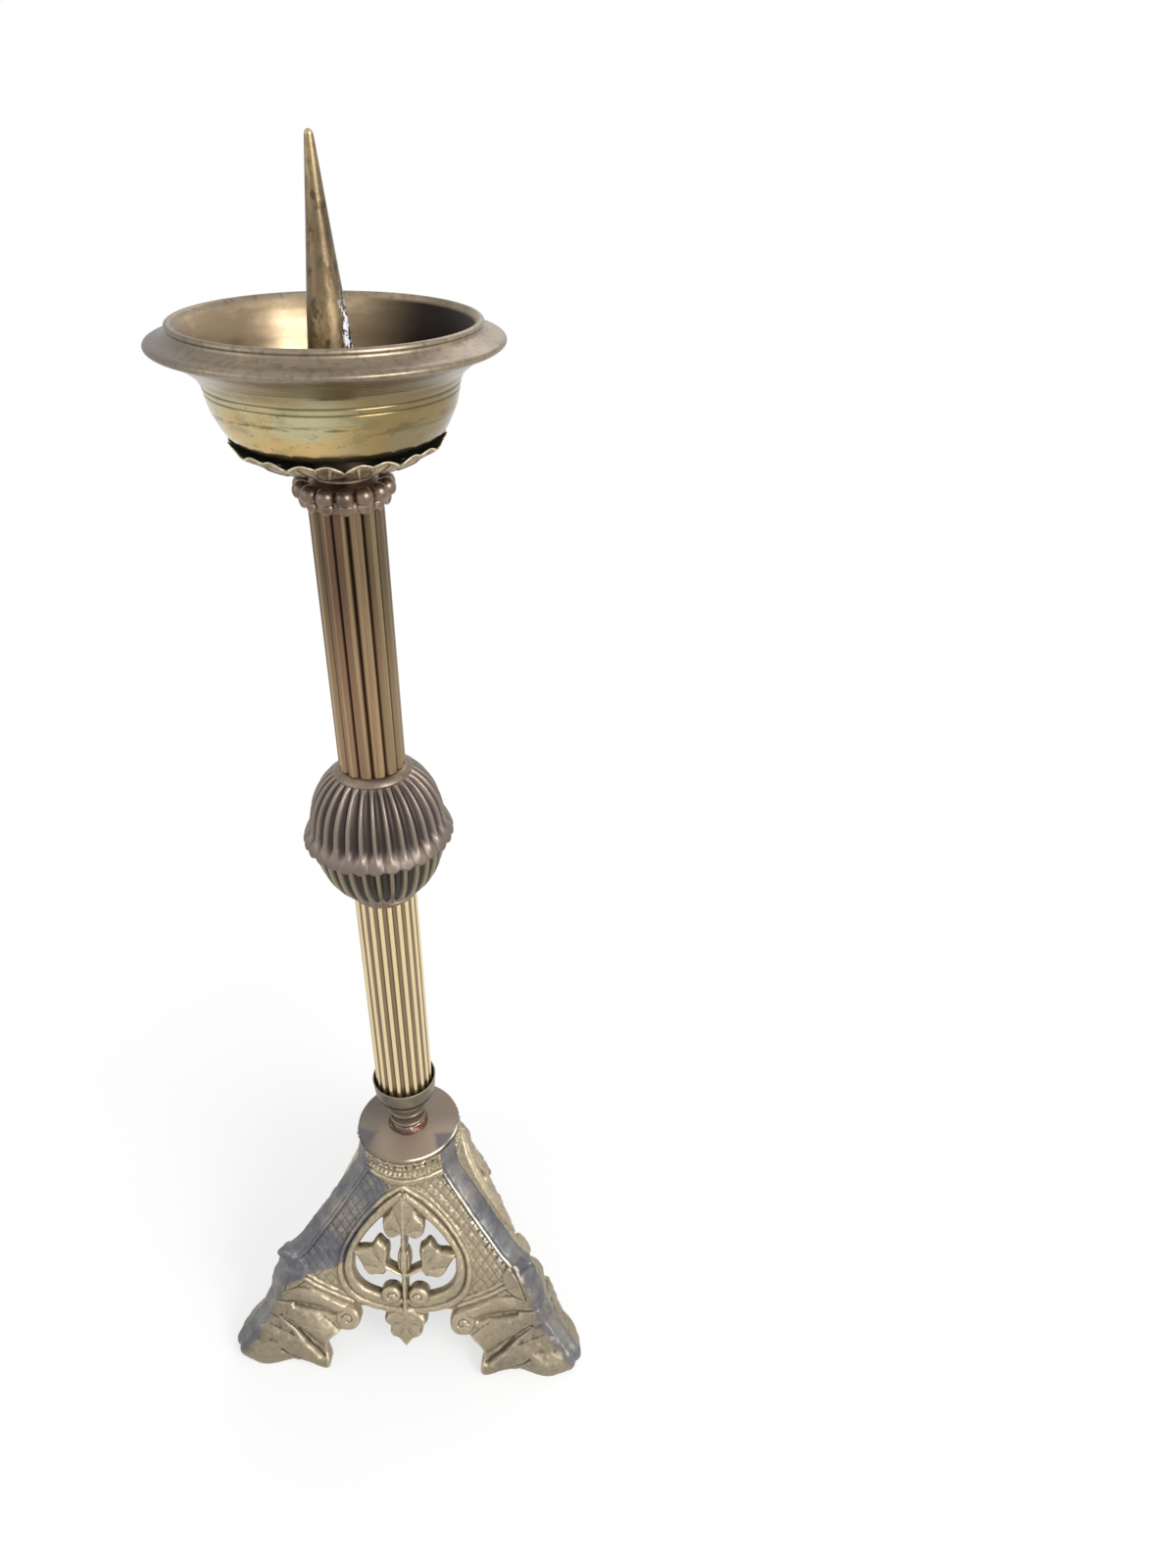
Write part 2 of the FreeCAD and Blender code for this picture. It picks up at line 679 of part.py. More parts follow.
nut_pad = nut.newObject("PartDesign::Pad", "nut_block")
nut_pad.Profile = nut_sketch
nut_pad.setExpression("Length", cell("nut_thickness").text)
doc.recompute()
nut_bore_sketch = new_sketch(nut, "nut_bore", "XY_Plane", nut_level)
circle(nut_bore_sketch, 0, 0, rod_thread)
pocket(nut, "thread", nut_bore_sketch, cell("nut_thickness"))

# Foot panels, three alike.
base_height = cell("base_height").number
corner_radius = cell("corner_radius").number
facet_half = cell("facet_half_width").number
panel_wall = cell("panel_wall").number
seam_width = cell("seam_width").number
overrun = cell("cut_overrun").number
corner_direction = (math.cos(math.pi / 6), -math.sin(math.pi / 6))
facet_direction = (-math.sin(math.pi / 6), -math.cos(math.pi / 6))


def half_section(reach, middle, facet, offset, level):
    """Corner, facet edge and middle pull of a panel's surface at one level, moved out by an offset."""
    corner = (corner_direction[0] * (reach + offset), corner_direction[1] * (reach + offset))
    edge = (corner[0] + facet_direction[0] * facet, corner[1] + facet_direction[1] * facet)
    seam = (corner[0] + facet_direction[0] * seam_width / 2, corner[1] + facet_direction[1] * seam_width / 2)
    pull = -2 * (middle + offset) - edge[1]
    return [FreeCAD.Vector(x, y, level) for x, y in (seam, edge, (0, pull))]


def mirrored(point):
    return FreeCAD.Vector(-point.x, point.y, point.z)


def bezier(start, pull, end):
    curve = Part.BezierCurve()
    curve.setPoles([start, pull, end])
    return curve.toShape()


def panel_section(reach, middle, facet, outward, inward, level):
    """The closed outline of the panel's wall at one level."""
    seam, edge, pull = half_section(reach, middle, facet, outward, level)
    seam_in, edge_in, pull_in = half_section(reach, middle, facet, -inward, level)
    return Part.Wire([
        Part.makeLine(mirrored(seam), mirrored(edge)),
        bezier(mirrored(edge), pull, edge),
        Part.makeLine(edge, seam),
        Part.makeLine(seam, seam_in),
        Part.makeLine(seam_in, edge_in),
        bezier(edge_in, pull_in, mirrored(edge_in)),
        Part.makeLine(mirrored(edge_in), mirrored(seam_in)),
        Part.makeLine(mirrored(seam_in), mirrored(seam)),
    ])


def panel_skin(outward, inward, middle_column=2):
    """The panel's curved wall, standing out and in from its surface by two distances."""
    wires = [
        panel_section(corner_radius * row[1], corner_radius * row[middle_column], facet_half * row[4],
                      outward, inward, base_height * row[0])
        for row in panel_shares
    ]
    return Part.makeLoft(wires, True, False)


def front_place(across, up):
    """A place on the panel's front view, from shares of the foot's height."""
    return FreeCAD.Vector(base_height * across, overrun, base_height * up)


def front_wire(points):
    """A closed front outline. A third share bends its edge: the arc's rise over its chord."""
    places = [front_place(*point[:2]) for point in points]
    edges = []
    for index, point in enumerate(points):
        start = places[index - 1]
        end = places[index]
        bend = (point + (0,))[2]
        if bend:
            chord = end - start
            side = FreeCAD.Vector(-chord.z, 0, chord.x)
            edges.append(Part.Arc(start, (start + end) * 0.5 + side * bend, end).toShape())
        else:
            edges.append(Part.makeLine(start, end))
    return Part.Wire(edges)


def through(wire):
    """Run a front outline right through the panel."""
    return Part.Face(wire).extrude(FreeCAD.Vector(0, -corner_radius - overrun, 0))


def both_sides(points):
    """Complete a right half outline, listed from its top to its bottom, with its mirror image."""
    right = [(point + (0,))[:3] for point in points]
    bottom = [] if right[-1][0] == 0 else [(-right[-1][0], right[-1][1], 0)]
    left = [(-before[0], before[1], after[2]) for before, after in zip(right, right[1:])]
    outline = right + bottom + left[::-1]
    if right[0][0] == 0:
        return [outline[-1]] + outline[1:-1]
    return outline


def mirror_front(shape):
    return shape.mirror(FreeCAD.Vector(0, 0, 0), FreeCAD.Vector(1, 0, 0))


silhouette_shares = [
    (0.26, 1.02), (0.90, 0.30), (0.90, -0.01), (0.542, -0.01), (0.493, 0.0), (0.457, 0.041), (0.398, 0.029),
    (0.325, 0.0), (0.339, 0.104), (0.276, 0.165), (0.235, 0.188), (0.186, 0.235, -0.21), (0.222, 0.286, -0.21),
    (0.154, 0.268), (0.086, 0.253),
]
opening_shares = [(0.0, 0.814), (0.194, 0.583, 0.07), (0.190, 0.416, 0.20), (0.0, 0.330, 0.16)]
moulding_shares = [(0.0, 0.877), (0.247, 0.597, 0.07), (0.268, 0.389, 0.19), (0.086, 0.253, 0.12)]
roll_shares = (0.0, 0.36)
roll_width_share = 0.42
top_leaf_shares = [
    (0.0, 0.850), (0.041, 0.778), (0.087, 0.701), (0.074, 0.674), (0.069, 0.638), (0.027, 0.635), (0.0, 0.660),
]
side_leaf_shares = [
    (0.000, 0.505), (0.027, 0.512), (0.060, 0.530), (0.063, 0.579), (0.096, 0.571), (0.123, 0.617), (0.150, 0.562),
    (0.228, 0.529), (0.175, 0.490), (0.163, 0.439), (0.112, 0.454), (0.075, 0.432), (0.063, 0.479), (0.000, 0.470),
]
pendant_shares = [
    (0.0, 0.285), (0.045, 0.271), (0.089, 0.231), (0.067, 0.197), (0.069, 0.161), (0.038, 0.146), (0.0, 0.096),
]
knot_share = (0.529, 0.026)
volute_shares = (0.058, 0.353, 0.048)
scroll_shares = (0.235, 0.237, 0.049)
stem_shares = (0.832, 0.127)
foot_leaf_shares = [
    (0.262, 0.249), (0.344, 0.316), (0.470, 0.348), (0.561, 0.380), (0.669, 0.271), (0.778, 0.163), (0.90, 0.060),
    (0.90, 0.009), (0.552, 0.009), (0.497, 0.020), (0.461, 0.060), (0.402, 0.050), (0.342, 0.022), (0.356, 0.110),
    (0.298, 0.176),
]
shoulder_shares = [(0.411, 0.420), (0.429, 0.502), (0.475, 0.565), (0.560, 0.565), (0.600, 0.416), (0.488, 0.389)]
border_shares = [(0.294, 0.321), (0.362, 0.375), (0.470, 0.414), (0.470, 0.387), (0.380, 0.346), (0.316, 0.298)]
foot_root_share = 1.3
torus_shares = [(-0.30, 0.915), (0.30, 0.915), (0.30, 0.885), (-0.30, 0.885)]


def between(share):
    """The moulding's outline at one share of the way from its outer edge to the opening."""
    return [
        tuple(outer + (inner - outer) * share for outer, inner in zip(outer_point, inner_point))
        for outer_point, inner_point in zip(moulding_shares, opening_shares)
    ]


def front_disc(across, up, radius):
    centre = front_place(across, up)
    ring = Part.makeCircle(base_height * radius, centre, FreeCAD.Vector(0, 1, 0))
    return through(Part.Wire([ring]))


def roll(share):
    """One round of the moulding: the band between two outlines."""
    outer = through(front_wire(both_sides(between(share))))
    inner = through(front_wire(both_sides(between(share + roll_width_share))))
    return outer.cut(inner)


def pair(shape):
    return [shape, mirror_front(shape)]


def panel():
    """One cast panel: wall, pierced opening, mouldings, ivy spray and the halves of two leaf feet."""
    wall = panel_skin(0, panel_wall)
    wall = wall.common(through(front_wire(both_sides(silhouette_shares))))
    wall = wall.cut(through(front_wire(both_sides(opening_shares))))
    mouldings = [roll(share) for share in roll_shares]
    mouldings += pair(through(front_wire(border_shares)))
    mouldings.append(through(front_wire(torus_shares)))
    stem_half = cell("stem_width").number / 2 / base_height
    top, bottom = stem_shares
    leaves = [
        through(front_wire(both_sides(top_leaf_shares))),
        through(front_wire(both_sides(pendant_shares))),
        through(front_wire([(stem_half, top), (stem_half, bottom), (-stem_half, bottom), (-stem_half, top)])),
        front_disc(0, knot_share[0], knot_share[1]),
    ]
    leaves += pair(through(front_wire(side_leaf_shares)))
    leaves += pair(front_disc(*volute_shares))
    leaves += pair(through(front_wire(shoulder_shares)))
    feet = pair(front_disc(*scroll_shares))
    feet += pair(through(front_wire(foot_leaf_shares)))
    moulding_skin = panel_skin(cell("moulding_relief").number, cell("moulding_root").number)
    leaf_skin = panel_skin(cell("leaf_relief").number, cell("leaf_root").number)
    foot_skin = panel_skin(cell("foot_relief").number, panel_wall * foot_root_share, 3)
    raised = [moulding_skin.common(prism) for prism in mouldings]
    raised += [leaf_skin.common(prism) for prism in leaves]
    raised += [foot_skin.common(prism) for prism in feet]
    return wall.multiFuse(raised).removeSplitter()


front_panel = panel()
for name, turn in (("base_panel_front", 0), ("base_panel_right", 120), ("base_panel_left", 240)):
    shape_piece(name, front_panel.copy(), turn)


def seam():
    """The strip of braze that fills the mitre between two panels."""
    recess = cell("seam_recess").number
    lift = cell("floor_relief").number
    outer = [(corner_radius * row[1] - recess, max(base_height * row[0], lift)) for row in panel_shares]
    inner = [(radius - panel_wall + recess * 2, level) for radius, level in outer[::-1]]
    places = [FreeCAD.Vector(radius, -seam_width / 2, level) for radius, level in outer + inner]
    face = Part.Face(Part.makePolygon(places + [places[0]]))
    return face.extrude(FreeCAD.Vector(0, seam_width, 0))


braze_strip = seam()
for name, turn in (("corner_braze_right", -30), ("corner_braze_rear", 90), ("corner_braze_left", 210)):
    shape_piece(name, braze_strip.copy(), turn)

doc.recompute()

faults = [item.Name for item in doc.Objects if "Invalid" in item.State or "Error" in item.State]
if faults:
    raise RuntimeError("failed objects: " + ", ".join(faults))
pieces = [item for item in doc.Objects if item.TypeId in ("PartDesign::Body", "Part::Feature")]
for piece in pieces:
    if piece.Shape.isNull() or not piece.Shape.isValid() or not piece.Shape.Solids:
        raise RuntimeError("bad shape: " + piece.Label)
os.makedirs("parts", exist_ok=True)
for piece in pieces:
    piece.Shape.exportStep("parts/%s.step" % piece.Label)
    print("%s solids %d volume %.1f" % (piece.Label, len(piece.Shape.Solids), piece.Shape.Volume))
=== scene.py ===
import math

import bpy
import numpy as np
from mathutils import Euler, Matrix, Vector


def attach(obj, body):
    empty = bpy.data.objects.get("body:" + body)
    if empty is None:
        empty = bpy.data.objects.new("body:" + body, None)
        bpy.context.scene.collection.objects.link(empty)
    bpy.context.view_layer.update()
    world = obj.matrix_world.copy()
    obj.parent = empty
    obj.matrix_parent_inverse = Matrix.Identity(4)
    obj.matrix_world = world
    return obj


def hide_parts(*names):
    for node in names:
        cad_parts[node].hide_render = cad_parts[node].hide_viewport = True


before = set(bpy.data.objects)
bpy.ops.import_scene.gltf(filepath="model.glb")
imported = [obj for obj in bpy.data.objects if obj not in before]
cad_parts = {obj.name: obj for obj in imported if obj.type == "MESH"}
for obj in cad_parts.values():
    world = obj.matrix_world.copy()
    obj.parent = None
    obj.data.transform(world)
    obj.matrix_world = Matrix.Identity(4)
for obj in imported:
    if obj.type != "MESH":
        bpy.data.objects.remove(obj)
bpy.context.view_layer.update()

# Altar pricket stand in aged brass. Outlines are in millimetres, radius first and height second.
mm = 0.001
body = "root"
tau = 2 * math.pi
print("frame loaded:", len(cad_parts), "nodes")


# Small tools for numbers

def smoothStep(value, low, high):
    t = np.clip((value - low) / (high - low), 0, 1)
    return t * t * (3 - 2 * t)


def dome(distance, width):
    # half round: 1 in the middle, 0 at the width
    return np.sqrt(np.clip(1 - (distance / width) ** 2, 0, 1))


def bell(distance, width):
    return np.exp(-(distance / width) ** 2)


def layOver(height, layer, mask):
    return np.where(mask, np.maximum(height, layer), height)


def cutCorners(points, rounds=2, closed=True, most=2.2):
    # rounds the corners of an outline; no cut is longer than most, in millimetres
    points = [tuple(p) for p in points]
    for _ in range(rounds):
        cut = [] if closed else [points[0]]
        pairs = zip(points, points[1:] + points[:1]) if closed else zip(points, points[1:])
        for a, b in pairs:
            t = min(0.25, most / (math.dist(a, b) + 1e-9))
            cut.append((a[0] + (b[0] - a[0]) * t, a[1] + (b[1] - a[1]) * t))
            cut.append((b[0] + (a[0] - b[0]) * t, b[1] + (a[1] - b[1]) * t))
        points = cut if closed else cut + [points[-1]]
        most /= 2
    return points


def segmentDistance(px, pz, a, b):
    ex, ez = b[0] - a[0], b[1] - a[1]
    t = np.clip(((px - a[0]) * ex + (pz - a[1]) * ez) / (ex * ex + ez * ez + 1e-12), 0, 1)
    return np.hypot(px - a[0] - t * ex, pz - a[1] - t * ez)


def outlineDistance(px, pz, points):
    # distance to a closed outline, positive inside it
    best = np.full(px.shape, 1e9)
    inside = np.zeros(px.shape, bool)
    for a, b in zip(points, points[1:] + points[:1]):
        best = np.minimum(best, segmentDistance(px, pz, a, b))
        crosses = (a[1] > pz) != (b[1] > pz)
        meets = a[0] + (pz - a[1]) / (b[1] - a[1] + 1e-12) * (b[0] - a[0])
        inside ^= crosses & (px < meets)
    return np.where(inside, best, -best)


def lineDistance(px, pz, points):
    best = np.full(px.shape, 1e9)
    for a, b in zip(points, points[1:]):
        best = np.minimum(best, segmentDistance(px, pz, a, b))
    return best


# Meshes

def addObject(name, data):
    made = bpy.data.objects.new(name, data)
    bpy.context.scene.collection.objects.link(made)
    return made


def meshPiece(name, vertices, faces):
    # vertices in millimetres
    mesh = bpy.data.meshes.new(name)
    mesh.from_pydata((np.asarray(vertices, float) * mm).tolist(), [], faces)
    mesh.update()
    return addObject(name, mesh)


def softOutline(points, steps=5):
    # each corner (radius, height, bevel) becomes a short curve; no bevel means as round as its edges allow
    last = len(points) - 1
    soft = []
    for index, point in enumerate(points):
        here = np.array(point[:2], float)
        if index in (0, last):
            soft.append(tuple(here))
            continue
        bevel = point[2] if len(point) > 2 else 1e9
        toBack = np.array(points[index - 1][:2], float) - here
        toNext = np.array(points[index + 1][:2], float) - here
        back = here + toBack * min(0.5, bevel / (np.linalg.norm(toBack) + 1e-9))
        ahead = here + toNext * min(0.5, bevel / (np.linalg.norm(toNext) + 1e-9))
        for step in range(steps + 1):
            t = step / steps
            soft.append(tuple(back * (1 - t) ** 2 + here * 2 * t * (1 - t) + ahead * t * t))
    kept = [soft[0]]
    for point in soft[1:]:
        if math.dist(point, kept[-1]) > 0.02:
            kept.append(point)
    return kept


def denser(points, longest):
    # splits the long runs of an outline
    filled = [points[0]]
    for a, b in zip(points, points[1:]):
        parts = max(1, math.ceil(math.dist(a, b) / longest))
        for part in range(1, parts + 1):
            t = part / parts
            filled.append((a[0] + (b[0] - a[0]) * t, a[1] + (b[1] - a[1]) * t))
    return filled


def turned(name, outline, sides=160, plan=None, longest=4.0, steps=5):
    # turns an outline, closed to the axis at both ends; plan(radius, angle) may trim each ring
    closing = [[(0, height)] if radius > 0 else [] for radius, height in (outline[0][:2], outline[-1][:2])]
    profile = denser(softOutline(closing[0] + outline + closing[1], steps), longest)
    angles = np.arange(sides) * tau / sides
    vertices, rings = [], []
    for radius, height in profile:
        if radius < 1e-6:
            rings.append([len(vertices)])
            vertices.append((0, 0, height))
            continue
        reach = plan(radius, angles) if plan else np.full(sides, radius)
        rings.append(list(range(len(vertices), len(vertices) + sides)))
        vertices += [(r * math.cos(a), r * math.sin(a), height) for r, a in zip(reach, angles)]
    faces = []
    for low, high in zip(rings, rings[1:]):
        for k in range(sides):
            n = (k + 1) % sides
            if len(low) == 1 and len(high) == 1:
                continue
            if len(low) == 1:
                faces.append((low[0], high[n], high[k]))
            elif len(high) == 1:
                faces.append((low[k], low[n], high[0]))
            else:
                faces.append((low[k], low[n], high[n], high[k]))
    return meshPiece(name, vertices, faces)


def smoothShade(piece, angle=38):
    piece.data.shade_smooth()
    piece.data.set_sharp_from_angle(angle=math.radians(angle))


def storeValue(piece, name, values):
    attribute = piece.data.attributes.get(name) or piece.data.attributes.new(name, "FLOAT", "POINT")
    attribute.data.foreach_set("value", np.asarray(values, np.float32))


def readPoints(mesh):
    points = np.zeros(len(mesh.vertices) * 3)
    mesh.vertices.foreach_get("co", points)
    return points.reshape(-1, 3) / mm


def writePoints(piece, points):
    piece.data.vertices.foreach_set("co", (points * mm).ravel())
    piece.data.update()


def aroundAxis(points):
    # angle and distance of each point round the axis
    return np.arctan2(points[:, 1], points[:, 0]), np.hypot(points[:, 0], points[:, 1])


def markWear(piece, reach=0.5, spread=3):
    # stores how proud (above 0) or sunk (below 0) each point stands, for rubbed edges and dirt in hollows
    mesh = piece.data
    points = readPoints(mesh)
    normals = np.zeros(len(mesh.vertices) * 3)
    mesh.vertex_normals.foreach_get("vector", normals)
    normals = normals.reshape(-1, 3)
    edges = np.zeros(len(mesh.edges) * 2, np.int64)
    mesh.edges.foreach_get("vertices", edges)
    a, b = edges.reshape(-1, 2).T
    count = len(points)
    along = points[b] - points[a]
    size = np.linalg.norm(along, axis=1) + 1e-9
    bend = np.zeros(count)
    weight = np.zeros(count)
    np.add.at(bend, a, -(along * normals[a]).sum(1) / size)
    np.add.at(bend, b, (along * normals[b]).sum(1) / size)
    np.add.at(weight, a, size)
    np.add.at(weight, b, size)
    bend = bend / (weight + 1e-9)
    links = np.bincount(a, minlength=count) + np.bincount(b, minlength=count)
    for _ in range(spread):
        total = np.bincount(a, bend[b], count) + np.bincount(b, bend[a], count)
        bend = bend * 0.4 + 0.6 * total / np.maximum(links, 1)
    storeValue(piece, "proud", np.clip(bend * reach * 4, -1, 1))


def finished(piece, material, slot, *nodes, angle=38, wear=0.5, spread=3):
    # shade, mark the wear, give the finish and stand in for the CAD nodes
    smoothShade(piece, angle)
    markWear(piece, wear, spread)
    piece.data.materials.clear()
    piece.data.materials.append(material)
    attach(piece, body)
    if nodes:
        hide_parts(*nodes)
    print("piece", piece.name, len(piece.data.polygons), "faces")
    return piece


# Node trees: a Wire is a socket that plain arithmetic joins into Math nodes

class Wire:
    def __init__(self, socket):
        self.socket = socket
        self.tree = socket.id_data

    def __add__(self, other):
        return maths("ADD", self, other)

    def __radd__(self, other):
        return maths("ADD", other, self)

    def __sub__(self, other):
        return maths("SUBTRACT", self, other)

    def __rsub__(self, other):
        return maths("SUBTRACT", other, self)

    def __mul__(self, other):
        return maths("MULTIPLY", self, other)

    def __truediv__(self, other):
        return maths("DIVIDE", self, other)

    def __abs__(self):
        return maths("ABSOLUTE", self)


def plug(socket, value):
    # links a wire, or sets the socket's own value
    if isinstance(value, Wire):
        value.tree.links.new(value.socket, socket)
    else:
        socket.default_value = value


def addNode(tree, kind, inputs=None, output=0, **settings):
    # a node with its settings and its inputs; gives the wire from one of its outputs
    node = tree.nodes.new(kind)
    for name, value in settings.items():
        setattr(node, name, value)
    for socket, value in (inputs or {}).items():
        plug(node.inputs[socket], value)
    return Wire(node.outputs[output])


def treeOf(*values):
    return next(value.tree for value in values if isinstance(value, Wire))


def maths(operation, *values):
    return addNode(treeOf(*values), "ShaderNodeMath", dict(enumerate(values)), operation=operation)


def splitXyz(vector):
    node = vector.tree.nodes.new("ShaderNodeSeparateXYZ")
    plug(node.inputs[0], vector)
    return [Wire(socket) for socket in node.outputs]


def step01(value, low, high):
    # smooth step from 0 at low to 1 at high; with low above high it falls instead
    return addNode(value.tree, "ShaderNodeMapRange", {0: value, 1: low, 2: high},
                   interpolation_type="SMOOTHSTEP")


# Geometry Nodes

def newTree(name, sizes):
    # a tree with one geometry input and named number inputs; gives the tree and wires from its inputs
    tree = bpy.data.node_groups.new(name, "GeometryNodeTree")
    tree.interface.new_socket("Geometry", in_out="INPUT", socket_type="NodeSocketGeometry")
    for label, value in sizes.items():
        kind = "NodeSocketInt" if isinstance(value, int) else "NodeSocketFloat"
        tree.interface.new_socket(label, in_out="INPUT", socket_type=kind).default_value = value
    tree.interface.new_socket("Finish", in_out="INPUT", socket_type="NodeSocketMaterial")
    tree.interface.new_socket("Geometry", in_out="OUTPUT", socket_type="NodeSocketGeometry")
    given = tree.nodes.new("NodeGroupInput")
    return tree, {socket.name: Wire(socket) for socket in given.outputs if socket.name}


def closeTree(tree, take, geometry):
    # every tree ends in Realize Instances and Set Material
    real = addNode(tree, "GeometryNodeRealizeInstances", {0: geometry})
    made = addNode(tree, "GeometryNodeSetMaterial", {"Geometry": real, "Material": take["Finish"]})
    plug(tree.nodes.new("NodeGroupOutput").inputs[0], made)
    return tree


def plainMesh(piece):
    # the mesh with its modifiers worked in
    graph = bpy.context.evaluated_depsgraph_get()
    graph.update()
    made = bpy.data.meshes.new_from_object(piece.evaluated_get(graph), preserve_all_data_layers=True,
                                           depsgraph=graph)
    piece.modifiers.clear()
    return made


def shapeWith(piece, tree, sizes, material):
    # runs the tree on the piece and keeps the result as a plain mesh
    modifier = piece.modifiers.new("shape", "NODES")
    modifier.node_group = tree
    values = dict(sizes, Finish=material)
    for item in tree.interface.items_tree:
        if item.item_type == "SOCKET" and item.in_out == "INPUT" and item.name in values:
            modifier[item.identifier] = values[item.name]
    old = piece.data
    piece.data = plainMesh(piece)
    piece.data.name = piece.name
    bpy.data.meshes.remove(old)
    return piece


def fluteTree():
    # presses flutes or raises reeds round the axis: sizes in metres, angles in turns of one flute
    tree, take = newTree("fluteRing", {
        "Count": 20, "Depth": 0.001, "Power": 2.0, "Width": 1.0, "Reeded": 0.0, "Reed Power": 2.0,
        "Reed Depth": 1.0, "Low End": 0.0, "Low Length": 0.001, "High End": 1.0, "High Length": 0.001,
        "Swap Height": -1.0, "Swap Length": 0.001, "Turn": 0.0})
    x, y, z = splitXyz(addNode(tree, "GeometryNodeInputPosition"))
    laps = maths("ARCTAN2", y, x) / tau * take["Count"] + take["Turn"]
    across = abs(laps - maths("ROUND", laps)) * 2.0
    low = (take["Low End"] + take["Low Length"] - z) / take["Low Length"]
    high = (z - (take["High End"] - take["High Length"])) / take["High Length"]
    ending = maths("MAXIMUM", maths("MAXIMUM", low, high), 0.0)
    reach = maths("SQRT", across * across + ending * ending) / take["Width"]
    hollow = 1.0 - maths("MINIMUM", maths("POWER", reach, take["Power"]), 1.0)
    reed = maths("POWER", 1.0 - across, take["Reed Power"]) * (1.0 - maths("MINIMUM", ending, 1.0))
    swap = maths("MAXIMUM", (take["Swap Height"] - z) / take["Swap Length"], take["Reeded"])
    swap = maths("MINIMUM", swap, 1.0)
    sunk = hollow * (1.0 - swap) + reed * take["Reed Depth"] * swap
    flat = addNode(tree, "ShaderNodeCombineXYZ", {0: x, 1: y})
    outward = addNode(tree, "ShaderNodeVectorMath", {0: flat}, operation="NORMALIZE")
    shift = addNode(tree, "ShaderNodeVectorMath", {0: outward, "Scale": sunk * take["Depth"] * -1.0},
                    operation="SCALE")
    geometry = take["Geometry"]
    for label, value in (("lobe", maths("FLOOR", laps)), ("hollow", sunk)):
        geometry = addNode(tree, "GeometryNodeStoreNamedAttribute",
                           {"Geometry": geometry, "Name": label, "Value": value}, data_type="FLOAT",
                           domain="POINT")
    moved = addNode(tree, "GeometryNodeSetPosition", {"Geometry": geometry, "Offset": shift})
    return closeTree(tree, take, moved)


def ringTree():
    # repeats one piece evenly round the axis, with a small uneven scale
    tree, take = newTree("ringOfPieces", {"Count": 14, "Weld": 0.00002, "Uneven": 0.02, "Seed": 7})
    points = addNode(tree, "GeometryNodePoints", {"Count": take["Count"]})
    turn = addNode(tree, "GeometryNodeInputIndex") * tau / take["Count"]
    chance = tree.nodes.new("FunctionNodeRandomValue")
    chance.data_type = "FLOAT"
    sockets = {socket.name: socket for socket in chance.inputs if socket.enabled}
    plug(sockets["Min"], 1.0 - take["Uneven"])
    plug(sockets["Max"], 1.0 + take["Uneven"])
    plug(sockets["Seed"], take["Seed"])
    size = Wire([socket for socket in chance.outputs if socket.enabled][0])
    ring = addNode(tree, "GeometryNodeInstanceOnPoints", {
        "Points": points, "Instance": take["Geometry"],
        "Rotation": addNode(tree, "ShaderNodeCombineXYZ", {2: turn}),
        "Scale": addNode(tree, "ShaderNodeCombineXYZ", {0: 1, 1: size, 2: 1})})
    real = addNode(tree, "GeometryNodeRealizeInstances", {0: ring})
    welded = addNode(tree, "GeometryNodeMergeByDistance", {"Geometry": real, "Distance": take["Weld"]})
    return closeTree(tree, take, welded)


flutes = fluteTree()
ringOf = ringTree()


# Finishes: one aged brass recipe, with the colours and wear of each piece

def srgb(red, green, blue):
    return tuple(((part / 255 + 0.055) / 1.055) ** 2.4 if part > 10 else part / 255 / 12.92
                 for part in (red, green, blue)) + (1,)


def mixColour(share, first, second):
    # a colour is a wire, or red, green and blue from 0 to 255
    first, second = (srgb(*colour) if isinstance(colour, tuple) else colour for colour in (first, second))
    return addNode(treeOf(share, first, second), "ShaderNodeMix", {0: share, 6: first, 7: second}, 2,
                   data_type="RGBA", clamp_factor=True)


class Skin:
    # the surface of a piece while it is painted: colour, rough, metal and height
    def __init__(self, tree):
        self.tree = tree
        self.place = addNode(tree, "ShaderNodeTexCoord", output="Object")
        self.x, self.y, self.z = splitXyz(self.place)

    def noise(self, scale, detail=4.0, rough=0.55, stretch=(1, 1, 1), offset=(0, 0, 0)):
        place = addNode(self.tree, "ShaderNodeMapping", {0: self.place, "Scale": stretch, "Location": offset})
        return addNode(self.tree, "ShaderNodeTexNoise",
                       {"Vector": place, "Scale": scale, "Detail": detail, "Roughness": rough})

    def stored(self, label):
        return addNode(self.tree, "ShaderNodeAttribute", output="Fac", attribute_name=label)

    def reach(self):
        return maths("SQRT", self.x * self.x + self.y * self.y)

    def angle(self):
        return maths("ARCTAN2", self.y, self.x)

    def facing(self, turn):
        # 1 on the side that the angle turn points to, and -1 behind
        return maths("COSINE", self.angle() - turn)

    def towards(self, degrees):
        # distances along a direction and aside of it
        turn = math.radians(degrees)
        along = self.x * math.cos(turn) + self.y * math.sin(turn)
        return along, self.y * math.cos(turn) - self.x * math.sin(turn)

    def tint(self, share, colour):
        self.colour = mixColour(share, self.colour, colour)


agedBrass = {
    "dark": (70, 60, 50), "body": (130, 114, 88), "pale": (165, 148, 108), "bright": (205, 185, 130),
    "grime": (42, 36, 32), "blotch": 55, "mottle": 420, "contrast": 0.55, "wearFrom": 0.08, "wearTo": 0.45,
    "wear": 0.7, "dirtFrom": 0.04, "dirtTo": 0.40, "dirt": 0.75, "rough": 0.42, "roughSwing": 0.16,
    "metal": 0.9, "grain": 0.10, "grainScale": 900, "streak": (1, 1, 1), "stains": (), "speck": 0.35,
}


